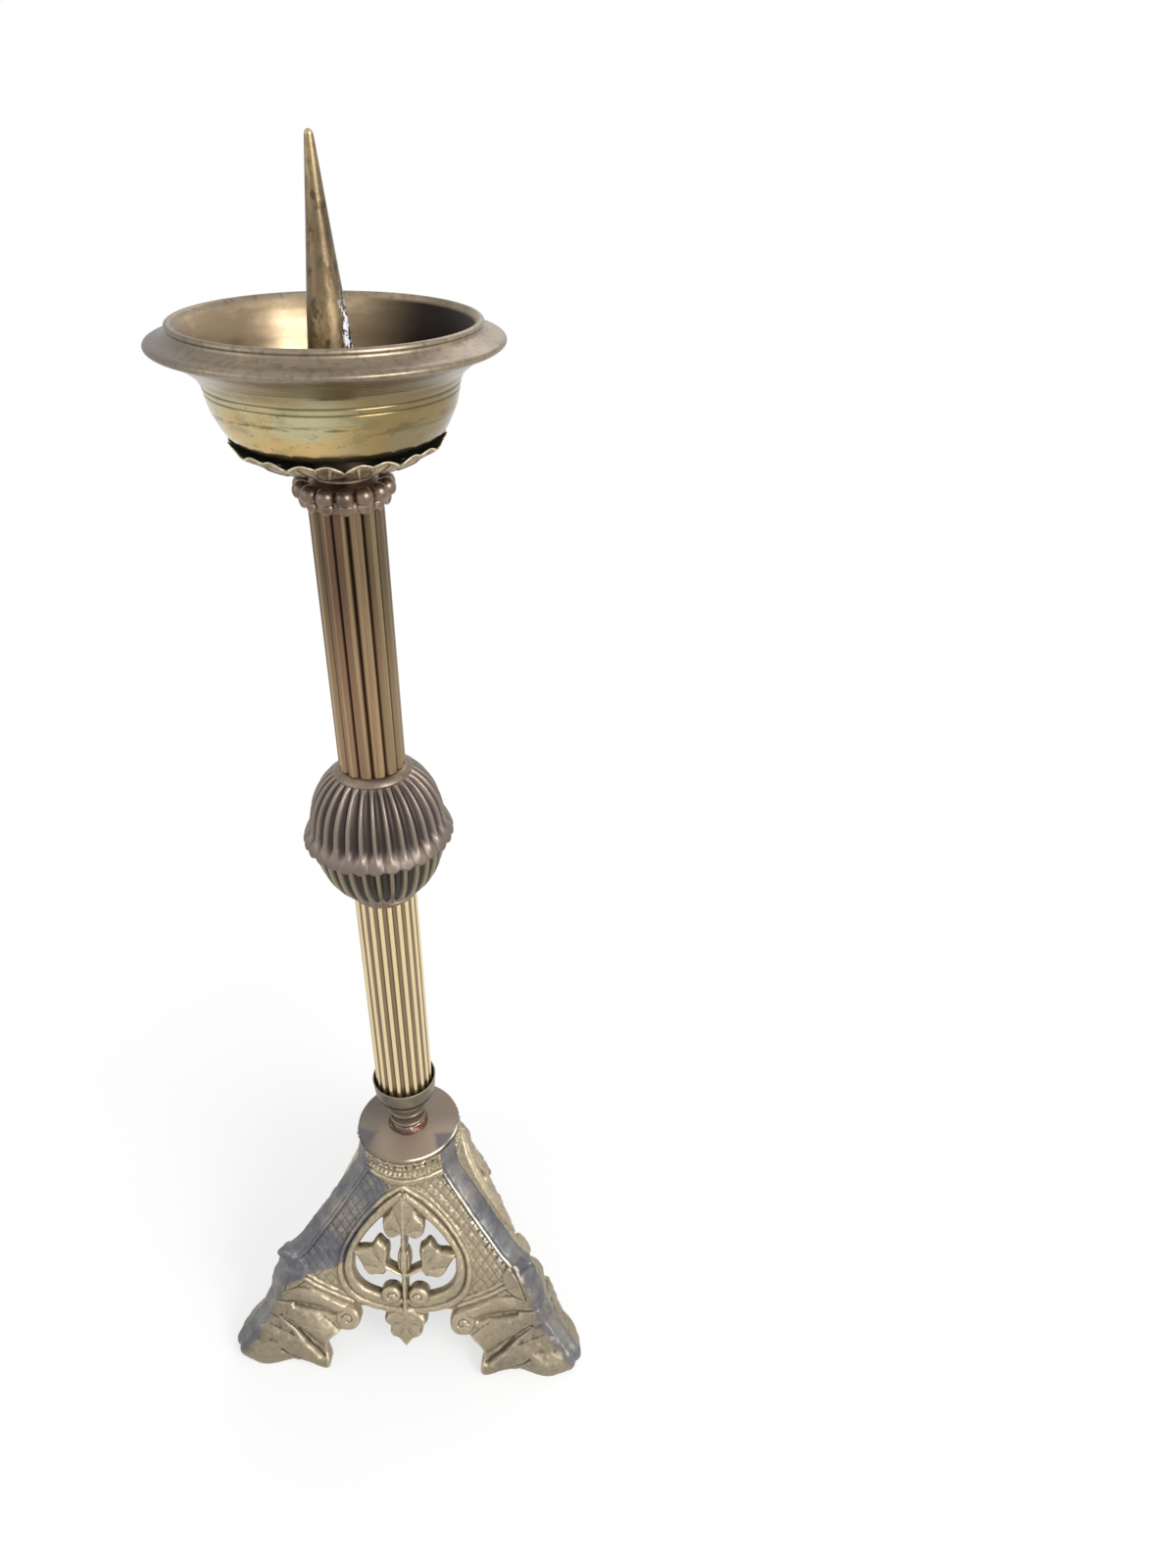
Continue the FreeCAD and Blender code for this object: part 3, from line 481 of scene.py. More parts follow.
def brassFinish(name, paint=None, **changes):
    look = dict(agedBrass, **changes)
    material = bpy.data.materials.new(name)
    material.use_nodes = True
    skin = Skin(material.node_tree)
    proud = skin.stored("proud")
    blotch = skin.noise(look["blotch"], 5.0, 0.6, look["streak"])
    mottle = skin.noise(look["mottle"], 3.0, 0.6, look["streak"], (3.1, 1.7, 0.4))
    grain = skin.noise(look["grainScale"], 4.0, 0.65)
    swing = look["contrast"] / 2
    skin.colour = mixColour(step01(blotch, 0.5 - swing, 0.5), look["dark"], look["body"])
    skin.tint(step01(blotch, 0.5, 0.5 + swing), look["pale"])
    skin.tint(step01(mottle, 0.45, 0.72) * look["speck"], look["dark"])
    for number, stain in enumerate(look["stains"]):
        patch = skin.noise(stain["scale"], 4.0, 0.6, stain.get("stretch", (1, 1, 1)),
                           (number * 2.3 + 0.7, number * 1.1, number * 3.7))
        skin.tint(step01(patch, stain["from"], stain["to"]) * stain["amount"], stain["colour"])
    worn = step01(proud, look["wearFrom"], look["wearTo"]) * (step01(mottle, 0.25, 0.6) * look["wear"])
    skin.tint(worn, look["bright"])
    sunk = step01(proud * -1.0, look["dirtFrom"], look["dirtTo"]) * look["dirt"]
    skin.tint(sunk, look["grime"])
    swing = look["roughSwing"]
    skin.rough = look["rough"] - swing / 2 + blotch * swing + sunk * 0.22 - worn * 0.10
    skin.metal = look["metal"] - sunk * 0.35
    skin.height = grain * 0.6 + mottle * 0.4
    if paint:
        paint(skin)
    bump = addNode(skin.tree, "ShaderNodeBump",
                   {"Strength": 1.0, "Distance": look["grain"] * mm, "Height": skin.height})
    shader = skin.tree.nodes["Principled BSDF"]
    for label, value in (("Base Color", skin.colour), ("Roughness", skin.rough), ("Metallic", skin.metal),
                         ("Normal", bump)):
        plug(shader.inputs[label], value)
    return material


# Spike

spike = {
    "outline": [(8.0, 421.0, 0.2), (7.9, 422.4), (7.5, 431.0), (5.85, 453.0), (3.45, 476.0), (1.60, 495.6),
                (1.22, 499.0, 0.5), (0.85, 499.8, 0.3), (0, 500.0)],
    "wax": (226, 228, 236), "waxLow": 0.4290, "waxHigh": 0.4620, "waxSide": -0.10,
}


def waxCrumbs(skin):
    # a crust of old wax low on the right side
    side = step01(abs(skin.angle() - spike["waxSide"]), 0.62, 0.35)
    up = step01(skin.z, spike["waxLow"] - 0.001, spike["waxLow"])
    down = step01(skin.z, spike["waxHigh"], spike["waxHigh"] - 0.008)
    wax = side * (up * down) * step01(skin.noise(420, 3.0, 0.7), 0.50, 0.53)
    skin.tint(wax, spike["wax"])
    skin.rough += wax * 0.3
    skin.metal *= 1.0 - wax
    skin.height += wax * 3.0


spikeBrass = brassFinish(
    "spikeBrass", waxCrumbs, dark=(66, 54, 40), body=(120, 104, 80), pale=(176, 156, 118),
    bright=(222, 202, 156), blotch=60, contrast=0.5, mottle=520, speck=0.5, rough=0.36, streak=(1, 1, 0.45),
    grain=0.06,
    stains=({"colour": (66, 52, 38), "scale": 320, "from": 0.54, "to": 0.62, "amount": 0.7,
             "stretch": (1, 1, 0.5)},))
piece = turned("spike", spike["outline"], 96, longest=1.5)
finished(piece, spikeBrass, "spike_brass", "pricket_spike", wear=0.3)

# Drip pan

pan = {
    "outside": [(24.0, 419.2, 0.6), (28.3, 420.0), (30.9, 421.6), (32.6, 423.0), (34.0, 425.4), (35.1, 427.9),
                (36.1, 430.0), (37.1, 434.6, 0.5), (36.9, 435.2, 0.2), (37.2, 435.7, 0.25),
                (37.5, 436.5, 0.3), (37.3, 437.0, 0.2), (37.65, 437.5, 0.25), (38.2, 438.4), (38.8, 439.8)],
    "band": [(40.4, 441.2), (44.6, 444.4), (48.2, 446.1), (50.4, 446.7), (51.35, 447.7), (50.9, 448.8),
             (49.5, 449.3), (47.4, 449.8), (45.8, 450.6), (44.7, 451.5, 0.3), (44.55, 452.2, 0.2),
             (44.8, 452.6, 0.3), (44.6, 453.4, 0.4), (43.9, 453.8, 0.4)],
    "inside": [(43.1, 453.6, 0.3), (42.3, 452.4), (40.6, 449.6), (39.0, 446.1), (38.1, 443.4), (37.5, 440.6),
               (36.8, 437.8), (35.3, 433.7), (33.7, 428.9), (31.8, 425.1), (28.9, 422.6), (24.5, 421.3),
               (11.0, 421.0)],
    # levels of the paint, in metres
    "smear": 0.4305, "grooves": (0.43515, 0.43700), "brown": (0.4365, 0.4455), "flange": (0.4440, 0.4462),
    "within": (0.4528, 0.4515),
}


def panPaint(skin):
    # brown patina on the flange, tan brown inside with painted shade on its right rear wall, cleaned yellow
    # brass outside under the flange, and painted shade on the left of the flange
    outside = skin.stored("outside")
    flange = step01(skin.z, *pan["flange"])
    cloud = skin.noise(38, 4.0, 0.6, (1, 1, 2.2))
    drawn = skin.noise(90, 5.0, 0.65, (1, 1, 3))
    pits = skin.noise(700, 2.0, 0.5)
    smear = step01(skin.noise(70, 4.0, 0.6, (1, 1, 5)), 0.50, 0.60)
    smear *= step01(abs(skin.z - pan["smear"]), 0.0022, 0.0008)
    stains = [(step01(drawn, 0.48, 0.66) * 0.40, (120, 108, 70)),
              (step01(pits, 0.66, 0.72) * 0.6, (74, 60, 34)), (smear * 0.75, (96, 86, 58)),
              (step01(skin.z + cloud * 0.006, *pan["brown"]) * 0.75, (116, 104, 82)),
              # the next entry is a painted dark reflection on the right front of the bowl
              (step01(skin.facing(-0.55), 0.55, 0.97) * 0.75, (112, 96, 64))]
    # thin dark lines of painted shade in the two grooves
    for groove in pan["grooves"]:
        line = step01(abs(skin.z - groove), 0.00050, 0.00015)
        stains.append((line * 0.75, (84, 74, 46)))
    yellow = mixColour(step01(cloud, 0.42, 0.62), (184, 176, 138), (196, 168, 112))
    for share, colour in stains:
        yellow = mixColour(share, yellow, colour)
    cleaned = outside * (1.0 - flange)
    skin.tint(cleaned, yellow)
    within = (1.0 - outside) * step01(skin.z, *pan["within"])
    skin.tint(within * 0.85, mixColour(step01(cloud, 0.40, 0.66), (146, 126, 100), (190, 168, 134)))
    # painted shade on the inside's right rear wall
    shaded = step01(skin.facing(0.5), 0.30, 0.92) * within
    skin.tint(shaded * 0.98, (20, 15, 12))
    # painted shade on the left side of the flange, away from the light
    shadeLeft = step01(skin.facing(math.pi), 0.2, 0.95) * (outside * flange)
    skin.tint(shadeLeft * 0.75, (92, 83, 75))
    skin.rough += shaded * 0.16
    skin.rough -= cleaned * 0.16
    rings = addNode(skin.tree, "ShaderNodeTexWave", {"Vector": skin.place, "Scale": 260, "Distortion": 1.5},
                    "Fac", wave_type="RINGS", rings_direction="Z")
    skin.height += rings * 0.25


panBrass = brassFinish(
    "panBrass", panPaint, dark=(100, 88, 74), body=(140, 127, 109), pale=(164, 149, 124),
    bright=(206, 184, 146), blotch=34, contrast=0.5, mottle=480, speck=0.6, rough=0.38, grain=0.05, wear=0.6,
    stains=({"colour": (150, 146, 140), "scale": 300, "from": 0.68, "to": 0.76, "amount": 0.5},))
piece = turned("pan", pan["outside"] + pan["band"] + pan["inside"], 224, longest=2.5)
points = readPoints(piece.data)
lipPoint = int(np.argmax(points[:, 2]))    # points run up the outside, over the lip and down the inside
storeValue(piece, "outside", np.arange(len(points)) < lipPoint)
finished(piece, panBrass, "pan_brass", "drip_pan", wear=0.35)

# Turned trims: boss under the pan, neck washer and knop collars

turnedBrass = brassFinish("turnedBrass", dark=(82, 70, 62), body=(126, 111, 98), pale=(154, 137, 118),
                          bright=(198, 178, 146), blotch=80, rough=0.40, grain=0.05)
trims = {
    "panBoss": ("pan_foot", [(11.0, 412.2, 0.3), (10.4, 415.7), (11.0, 419.2, 0.3)]),
    "neckWasher": ("neck_washer", [(9.4, 408.0, 0.3), (9.2, 409.0), (9.8, 409.8), (10.2, 410.4, 0.4),
                                   (10.2, 411.2, 0.3)]),
    "upperCollar": ("knop_upper_collar", [(12.9, 300.8, 0.2), (14.0, 301.0, 0.3), (14.15, 301.6, 0.3),
                                          (13.5, 302.5), (12.5, 303.4), (11.0, 304.0)]),
    "lowerCollar": ("knop_lower_collar", [(11.9, 246.0, 0.3), (12.6, 246.6), (12.75, 247.3), (12.5, 248.0),
                                          (12.1, 248.6, 0.2)]),
}
for name, (node, outline) in trims.items():
    finished(turned(name, outline, 128), turnedBrass, "turned_brass", node, wear=0.3)

# Socket cup with its neck and the rough braze at the plate

socket = {
    "cup": [(7.8, 126.5, 0.2), (8.9, 127.4), (8.9, 128.9), (8.15, 129.8, 0.3), (9.8, 131.0), (11.9, 132.4),
            (13.0, 134.6), (13.2, 138.6), (13.66, 142.5, 0.3), (13.3, 142.75, 0.2)],
    "cupInside": [(12.95, 142.5, 0.2), (12.4, 139.6), (12.35, 134.0, 0.3)],
    "neck": [(7.5, 113.0, 0.2), (7.5, 116.9, 0.2), (8.05, 117.3, 0.3), (8.1, 118.3, 0.3), (7.55, 118.8, 0.2),
             (7.3, 120.2), (7.55, 121.8), (8.2, 123.0), (8.4, 123.8, 0.3), (7.95, 124.3, 0.2), (7.75, 125.2),
             (7.9, 126.5, 0.2)],
    "braze": [(8.75, 113.0, 0.2), (8.7, 114.0), (8.25, 115.2), (7.9, 116.2), (7.55, 116.6, 0.2)],
    "low": 113.0,
}


def socketPaint(skin):
    # painted shade, black, inside the cup round the column
    paintedShade = step01(skin.reach(), 0.01305, 0.01290) * step01(skin.z, 0.1325, 0.1335)
    skin.tint(paintedShade, (20, 19, 19))
    skin.metal *= 1.0 - paintedShade * 0.9
    skin.rough += paintedShade * 0.35


socketBrass = brassFinish("socketBrass", socketPaint, dark=(76, 68, 60), body=(118, 107, 94),
                          pale=(144, 132, 112), bright=(190, 176, 138), grime=(22, 20, 19), blotch=90,
                          rough=0.42, grain=0.06)
piece = turned("socketCup", socket["cup"] + socket["cupInside"], 160, longest=2.0)
finished(piece, socketBrass, "socket_brass", "socket_cup", wear=0.3)
piece = turned("socketNeck", socket["neck"], 128, longest=2.0)
finished(piece, socketBrass, "socket_brass", "socket_neck", wear=0.3)


def brazePaint(skin):
    # pink copper tone kept on the right side only as a painted highlight, dull brown elsewhere
    skin.tint(step01(skin.facing(-0.35), 0.80, 0.45) * 0.9, (112, 100, 92))


def roughen(piece, low, core=6.0, swell=0.022, lift=0.12):
    # uneven lumps of braze all round; the flat underside and the core stay
    points = readPoints(piece.data)
    chance = np.random.default_rng(11)
    angle, reach = aroundAxis(points)
    waves = np.zeros(len(points))
    for harmonic in (3, 5, 8, 13, 21):
        wave = angle * harmonic + chance.uniform(0, tau) + points[:, 2] * chance.uniform(0.5, 2)
        waves += np.sin(wave) / harmonic ** 0.6
    points[:, :2] *= np.where(reach > core, 1 + swell * waves, 1)[:, None]
    points[:, 2] = np.clip(points[:, 2] + np.where(points[:, 2] > low + 0.2, lift * waves, 0), low, None)
    writePoints(piece, points)


copperBraze = brassFinish("copperBraze", brazePaint, dark=(84, 62, 54), body=(136, 104, 92),
                          pale=(184, 138, 122), bright=(232, 196, 182), grime=(40, 30, 30), blotch=240,
                          mottle=900, speck=0.5, rough=0.34, grain=0.35, grainScale=700)
piece = turned("brazeRing", socket["braze"], 160, longest=0.4)
roughen(piece, socket["low"])
finished(piece, copperBraze, "braze", "braze_ring", wear=0.3)

# Top plate: a disc with a flat over each corner of the foot

footCorners = {"right": -30, "rear": 90, "left": 210}    # in degrees round the axis
plate = {"radius": 22.5, "flat": 22.05, "wedgeFrom": 0.0140,
         "outline": [(22.2, 110.6, 0.25), (22.5, 110.9, 0.3), (22.5, 112.5, 0.35), (22.1, 113.0, 0.4)]}


def plateRing(radius, angles):
    third = math.radians(120)
    facing = (angles - math.radians(footCorners["rear"]) + third / 2) % third - third / 2
    return np.minimum(radius, plate["flat"] * radius / plate["radius"] / np.cos(np.clip(facing, -0.9, 0.9)))


def platePaint(skin):
    # painted light at the front and painted shade behind and at the left, with blue grey wedges over the
    # corners of the foot and a painted highlight on the edge at the right
    cloud = skin.noise(60, 3.0, 0.5) * 0.008
    ragged = skin.noise(220, 4.0, 0.6) * 0.003
    # painted shade behind, towards the column, and painted light at the front
    behind = step01(skin.y + cloud, -0.006, 0.010) * 0.6
    skin.tint(0.6 - behind, (170, 151, 133))
    skin.tint(behind, (110, 99, 88))
    # painted shade on the left
    skin.tint(step01(skin.x + cloud, 0.000, -0.012) * 0.55, (88, 82, 78))
    skin.metal *= 0.55
    skin.rough += 0.12
    for corner in footCorners.values():
        along, aside = skin.towards(corner)
        wedge = (along - plate["wedgeFrom"]) * 0.95 - abs(aside)
        skin.tint(step01(wedge + (ragged - 0.0015), -0.0010, 0.0030) * 0.75, (84, 86, 94))
    reach = skin.reach()
    skin.tint(step01(reach, 0.0216, 0.0221) * 0.55, (100, 88, 76))
    # painted highlight along the edge at the front right
    edge = step01(reach, 0.02195, 0.02215) * step01(skin.z, 0.1120, 0.1124)
    skin.tint(edge * step01(skin.facing(-0.75), 0.72, 0.86) * 0.9, (244, 238, 214))


plateBrass = brassFinish(
    "plateBrass", platePaint, dark=(116, 103, 92), body=(148, 132, 116), pale=(160, 146, 128),
    bright=(226, 214, 180), blotch=30, contrast=0.7, mottle=500, speck=0.25, rough=0.40, grain=0.05,
    wearFrom=0.10, wearTo=0.5,
    stains=({"colour": (120, 104, 82), "scale": 30, "from": 0.60, "to": 0.72, "amount": 0.45},))
piece = turned("topPlate", plate["outline"], 240, plateRing, longest=1.5)
finished(piece, plateBrass, "plate_brass", "top_plate", wear=0.4)
print("turned pieces done")

# Columns and knop: turned blanks, fluted and reeded by one Geometry Nodes tree

columns = {"radius": 12.0, "upperRadius": 11.8, "low": 134.0, "knopLow": 246.0, "knopHigh": 304.0,
           "high": 402.0}
upperColumn = {"Count": 14, "Depth": 1.5 * mm, "Reeded": 1.0, "Reed Power": 3.6, "Low End": -1.0,
               "High End": 2.0}
lowerColumn = {"Count": 20, "Depth": 1.10 * mm, "Power": 2.2, "Width": 0.66, "Low End": -1.0, "High End": 2.0,
               "Turn": 0.5}
upperShell = {"Count": 30, "Depth": 1.75 * mm, "Power": 2.2, "Low End": -1.0, "High End": 303.2 * mm,
              "High Length": 5.0 * mm, "Swap Height": 281.0 * mm, "Swap Length": 5.0 * mm, "Turn": 0.25,
              "Width": 0.82, "Reed Power": 3.0, "Reed Depth": 0.26}
lowerShell = {"Count": 30, "Depth": 1.75 * mm, "Power": 2.4, "Width": 0.74, "Low End": 250.0 * mm,
              "Low Length": 6.0 * mm, "High End": 2.0, "Turn": 0.25}


def streaks(colours, brightest, share, start=0.15, end=0.92):
    # each lobe has its own tone, drawn out along the column
    def paint(skin):
        lobe = skin.stored("lobe") + 31.0
        hollow = skin.stored("hollow")
        chance = addNode(skin.tree, "ShaderNodeTexWhiteNoise", {"W": lobe}, "Value", noise_dimensions="1D")
        drawn = skin.noise(34, 3.0, 0.55, (14, 14, 0.14))
        thin = skin.noise(34, 3.0, 0.6, (42, 42, 0.35), (0.3, 0.9, 0.1))
        ramp = skin.tree.nodes.new("ShaderNodeValToRGB")
        plug(ramp.inputs[0], chance * 0.42 + drawn * 0.42 + thin * 0.32)
        stops = ramp.color_ramp.elements
        stops[0].position, stops[0].color = start, srgb(*colours[0])
        stops[1].position, stops[1].color = end, srgb(*colours[-1])
        for number, shade in enumerate(colours[1:-1], start=1):
            stops.new(start + (end - start) * number / (len(colours) - 1)).color = srgb(*shade)
        skin.tint(share, Wire(ramp.outputs[0]))
        # rubbed reed crowns with a painted highlight
        rubbed = step01(hollow, 0.35, 0.02) * step01(drawn, 0.46, 0.60)
        skin.tint(rubbed * 0.40, brightest)
        above = step01(skin.z, 0.325, 0.385)
        skin.tint(above * 0.42, (66, 55, 44))
        skin.tint(0.30 - above * 0.30, (180, 150, 116))
        # painted shade on the reed sides and in the gaps
        skin.tint(step01(hollow, 0.30, 0.85) * 0.55, colours[0])
    return paint


def flutedPaint(land, hollow, sharp):
    # rubbed lands or ridges with a painted highlight, and stained flutes with painted shade
    def paint(skin):
        drawn = skin.noise(60, 4.0, 0.6, (4, 4, 0.6))
        low = step01(skin.stored("hollow") + (drawn - 0.5) * 0.3, *sharp)
        skin.tint(0.8, mixColour(low, land, hollow))
        skin.rough += low * 0.08
    return paint


def column(name, low, high, radius, sizes, sides, material, slot, node):
    outline = [(radius, low, 0.1), (radius, high, 0.1)]
    piece = turned(name, outline, sizes["Count"] * sides, longest=4.0)
    shapeWith(piece, flutes, sizes, material)
    finished(piece, material, slot, node, angle=50, wear=0.3, spread=2)


upperBrass = brassFinish(
    "upperColumnBrass", streaks([(62, 52, 42), (92, 80, 58), (122, 88, 72), (112, 100, 72), (152, 118, 92),
                                 (186, 162, 118)], (208, 188, 138), 0.78),
    dark=(74, 62, 48), body=(112, 94, 70), pale=(150, 130, 94), bright=(210, 188, 128), grime=(30, 28, 24),
    blotch=40, streak=(3, 3, 0.5), rough=0.38, grain=0.08, dirt=0.6,
    stains=({"colour": (84, 104, 74), "scale": 60, "from": 0.56, "to": 0.66, "amount": 0.5,
             "stretch": (3, 3, 0.5)},
            {"colour": (150, 92, 70), "scale": 44, "from": 0.56, "to": 0.66, "amount": 0.5,
             "stretch": (3, 3, 0.5)}))
column("upperColumn", columns["knopHigh"], columns["high"], columns["upperRadius"], upperColumn, 18,
       upperBrass, "upper_column_brass", "upper_column")

lowerBrass = brassFinish(
    "lowerColumnBrass", flutedPaint((238, 220, 174), (134, 112, 92), (0.14, 0.60)),
    dark=(116, 98, 76), body=(158, 136, 104), pale=(198, 174, 130), bright=(242, 226, 178),
    grime=(60, 46, 34), blotch=46, streak=(3, 3, 0.4), rough=0.30, grain=0.04, wear=0.6,
    stains=({"colour": (78, 104, 82), "scale": 60, "from": 0.66, "to": 0.76, "amount": 0.35,
             "stretch": (3, 3, 0.6)},))
column("lowerColumn", columns["low"], columns["knopLow"], columns["radius"], lowerColumn, 16, lowerBrass,
       "lower_column_brass", "lower_column")

knop = {
    "upper": [(24.2, 274.6, 0.2), (26.6, 273.5, 0.4), (27.6, 273.6, 0.3), (27.7, 274.4, 0.3),
              (26.5, 277.0), (25.3, 279.2), (24.65, 281.6), (24.1, 284.8), (23.3, 288.4), (21.6, 292.6),
              (19.3, 296.4), (16.6, 299.4), (14.0, 301.3, 0.5), (12.6, 301.4, 0.2)],
    "lower": [(12.4, 248.6, 0.2), (13.4, 249.0), (16.2, 251.4), (19.6, 255.4), (22.2, 260.6),
              (23.9, 267.0), (24.6, 274.0), (24.5, 277.8, 0.3)],
    "hemWave": 0.9,
}


def knopPaint(skin):
    # pale ribs with a painted highlight and dark hollows with painted shade, and a brown gold hem
    flutedPaint((138, 126, 116), (62, 54, 52), (0.16, 0.80))(skin)
    hem = step01(skin.z, 0.2742, 0.2735) * step01(skin.reach(), 0.0262, 0.0268)
    skin.tint(hem * 0.8, (150, 118, 84))
    skirt = step01(skin.z, 0.2790, 0.2750)
    skin.rough += skirt * 0.12
    skin.tint(skirt * 0.4, (100, 87, 82))


knopBrass = brassFinish(
    "knopBrass", knopPaint,
    dark=(66, 57, 54), body=(98, 85, 76), pale=(124, 108, 94), bright=(176, 160, 142), grime=(34, 29, 29),
    blotch=60, rough=0.42, grain=0.05, wearFrom=0.14, wearTo=0.7, wear=0.6)
piece = turned("knopUpper", knop["upper"], upperShell["Count"] * 16, longest=1.2)
shapeWith(piece, flutes, upperShell, knopBrass)
points = readPoints(piece.data)    # the skirt's hem dips at every rib
angle, reach = aroundAxis(points)
hem = smoothStep(-points[:, 2], -279, -274) * smoothStep(reach, 23, 26)
dip = 0.5 * (1 - np.cos(angle * upperShell["Count"] + upperShell["Turn"] * tau)) * hem
points[:, 2] += (0.5 - dip) * knop["hemWave"] * hem
writePoints(piece, points)
finished(piece, knopBrass, "knop_brass", "knop_upper_shell", angle=60, wear=0.35, spread=1)

lowerKnopBrass = brassFinish(
    "lowerKnopBrass", flutedPaint((136, 124, 104), (54, 52, 50), (0.14, 0.74)),
    dark=(58, 54, 46), body=(98, 86, 70), pale=(130, 114, 84), bright=(190, 172, 128), grime=(26, 25, 23),
    blotch=70, rough=0.34, grain=0.05, wearFrom=0.10, wearTo=0.6,
    stains=({"colour": (64, 92, 76), "scale": 90, "from": 0.54, "to": 0.68, "amount": 0.45},))
piece = turned("knopLower", knop["lower"], lowerShell["Count"] * 16, longest=1.2)
shapeWith(piece, flutes, lowerShell, lowerKnopBrass)
finished(piece, lowerKnopBrass, "knop_brass", "knop_lower_shell", angle=60, wear=0.35, spread=1)
print("columns and knop done")

# Bead capital: a waisted core, a ring of beads and a petal under each bead

capital = {
    "core": [(12.0, 399.8, 0.2), (13.1, 400.0, 0.4), (13.0, 401.6), (12.6, 403.0), (12.6, 404.8),
             (11.4, 406.6), (9.9, 407.5), (9.2, 408.0, 0.2)],
    "bead": [(0, -2.7), (1.5, -2.65), (2.75, -1.9), (3.1, -0.5), (2.95, 0.9), (2.2, 2.1), (1.1, 2.75),
             (0, 2.85)],
    "petal": [(0, -2.3), (1.0, -2.1), (1.9, -1.3), (2.45, 0.2), (2.3, 1.4), (0, 1.9)],
    "repeat": {"Count": 14, "Weld": 0.0, "Uneven": 0.025, "Seed": 5},
    # circle, level, sides and thickness of each ring of pieces
    "rings": {"bead": (13.1, 405.0, 28, 1.0), "petal": (13.0, 401.5, 24, 0.62)},
}
beadBrass = brassFinish(
    "beadBrass", dark=(64, 55, 50), body=(118, 102, 90), pale=(150, 128, 110), bright=(210, 182, 152),
    grime=(26, 22, 21), blotch=90, rough=0.36, grain=0.05, wearFrom=0.14, wearTo=0.55)
core = turned("capital", capital["core"], 140)
rings = []
for name, (circle, level, sides, thick) in capital["rings"].items():
    piece = turned(name, capital[name], sides, longest=1.0, steps=4)
    points = readPoints(piece.data) * (thick, 1, 1)    # petals are flat leaves against the skirt
    writePoints(piece, points + (circle, 0, level))
    rings.append(shapeWith(piece, ringOf, capital["repeat"], beadBrass))
with bpy.context.temp_override(active_object=core, selected_editable_objects=[core] + rings):
    bpy.ops.object.join()
finished(core, beadBrass, "bead_brass", "bead_capital", angle=50, wear=0.3, spread=2)


# Cast sheets: a grid of points with a mask, cut exactly along the outline and given a front, a back and a rim

def cutGrid(level, values):
    # keeps the cells where level is above 0 and cuts those on its edge; gives values, faces and rim edges
    rows, columns = level.shape
    level = level.ravel()
    solid = level > 0
    index = np.cumsum(solid) - 1
    count = int(solid.sum())
    corner = np.arange(rows * columns).reshape(rows, columns)
    quads = np.stack([corner[:-1, :-1], corner[:-1, 1:], corner[1:, 1:], corner[1:, :-1]], -1).reshape(-1, 4)
    full = solid[quads].all(1)
    faces = index[quads[full]].tolist()
    rim = []
    crossing = {}
    extra = []
    for quad in quads[solid[quads].any(1) & ~full]:
        loop, leaving, entering = [], [], []
        for k in range(4):
            a, b = int(quad[k]), int(quad[(k + 1) % 4])
            if solid[a]:
                loop.append(int(index[a]))
            if solid[a] != solid[b]:
                key = (min(a, b), max(a, b))
                if key not in crossing:
                    low, high = level[key[0]], level[key[1]]
                    t = min(max(low / (low - high), 0.02), 0.98)
                    crossing[key] = count + len(extra)
                    extra.append(values[key[0]] * (1 - t) + values[key[1]] * t)
                loop.append(crossing[key])
                (leaving if solid[a] else entering).append(crossing[key])
        if len(loop) >= 3:
            faces.append(loop)
        rim += zip(leaving, entering)
    return np.vstack([values[solid]] + extra), faces, rim


def castSheet(name, base, normal, inside, front, back, mirror=False):
    # base, normal: rows x columns x 3; inside above 0 is metal; front and back are heights along the normal
    grid = np.concatenate([base, normal, front[..., None], back[..., None]], -1).reshape(-1, 8)
    values, faces, rim = cutGrid(inside, grid)
    count = len(values)
    centre, facing = values[:, :3], values[:, 3:6]
    facing = facing / (np.linalg.norm(facing, axis=1)[:, None] + 1e-12)
    points = np.vstack([centre + facing * values[:, 6:7], centre + facing * values[:, 7:8]])
    allFaces = [tuple(f) for f in faces] + [tuple(count + k for k in f[::-1]) for f in faces]
    allFaces += [(b, a, count + a, count + b) for a, b in rim]
    if mirror:    # the other half shares the points on the middle line
        onLine = np.tile(np.abs(centre[:, 0]) < 1e-7, 2)
        points[onLine, 0] = 0
        other = np.arange(2 * count)
        other[~onLine] = 2 * count + np.arange((~onLine).sum())
        allFaces += [tuple(int(other[k]) for k in f[::-1]) for f in allFaces]
        points = np.vstack([points, points[~onLine] * (-1, 1, 1)])
    return meshPiece(name, points, allFaces)


def gridNormals(base):
    normal = np.cross(np.gradient(base, axis=1), np.gradient(base, axis=0))
    return normal / (np.linalg.norm(normal, axis=2)[..., None] + 1e-12)


def roundedIn(distance, radius):
    # drop of a quarter round rim: radius at the edge and 0 from radius inwards
    near = np.clip(distance, 0, radius)
    return radius * (1 - np.sqrt(np.clip(1 - (1 - near / radius) ** 2, 0, 1)))


# Leaf gallery: one leaf is cast as a sheet, then repeated round the axis

gallery = {"seat": 12.5, "rim": 32.6, "level": 411.2, "rise": 8.9, "skin": 0.6, "step": 0.33, "hole": 0.9,
           "holeCircle": 19.0, "scallop": 1.3, "sag": 0.8,
           "leaves": {"Count": 12, "Weld": 0.02 * mm, "Uneven": 0.0, "Seed": 3}}
halfLeaf = math.pi / gallery["leaves"]["Count"]


def leafEdge(side):
    # two scallops along the edge of each leaf and a notch between two leaves; side runs from -1 to 1
    lobes = np.sqrt(np.abs(np.sin(side * math.pi)))
    return gallery["rim"] - gallery["scallop"] * (1 - lobes + smoothStep(np.abs(side), 0.90, 1.0))


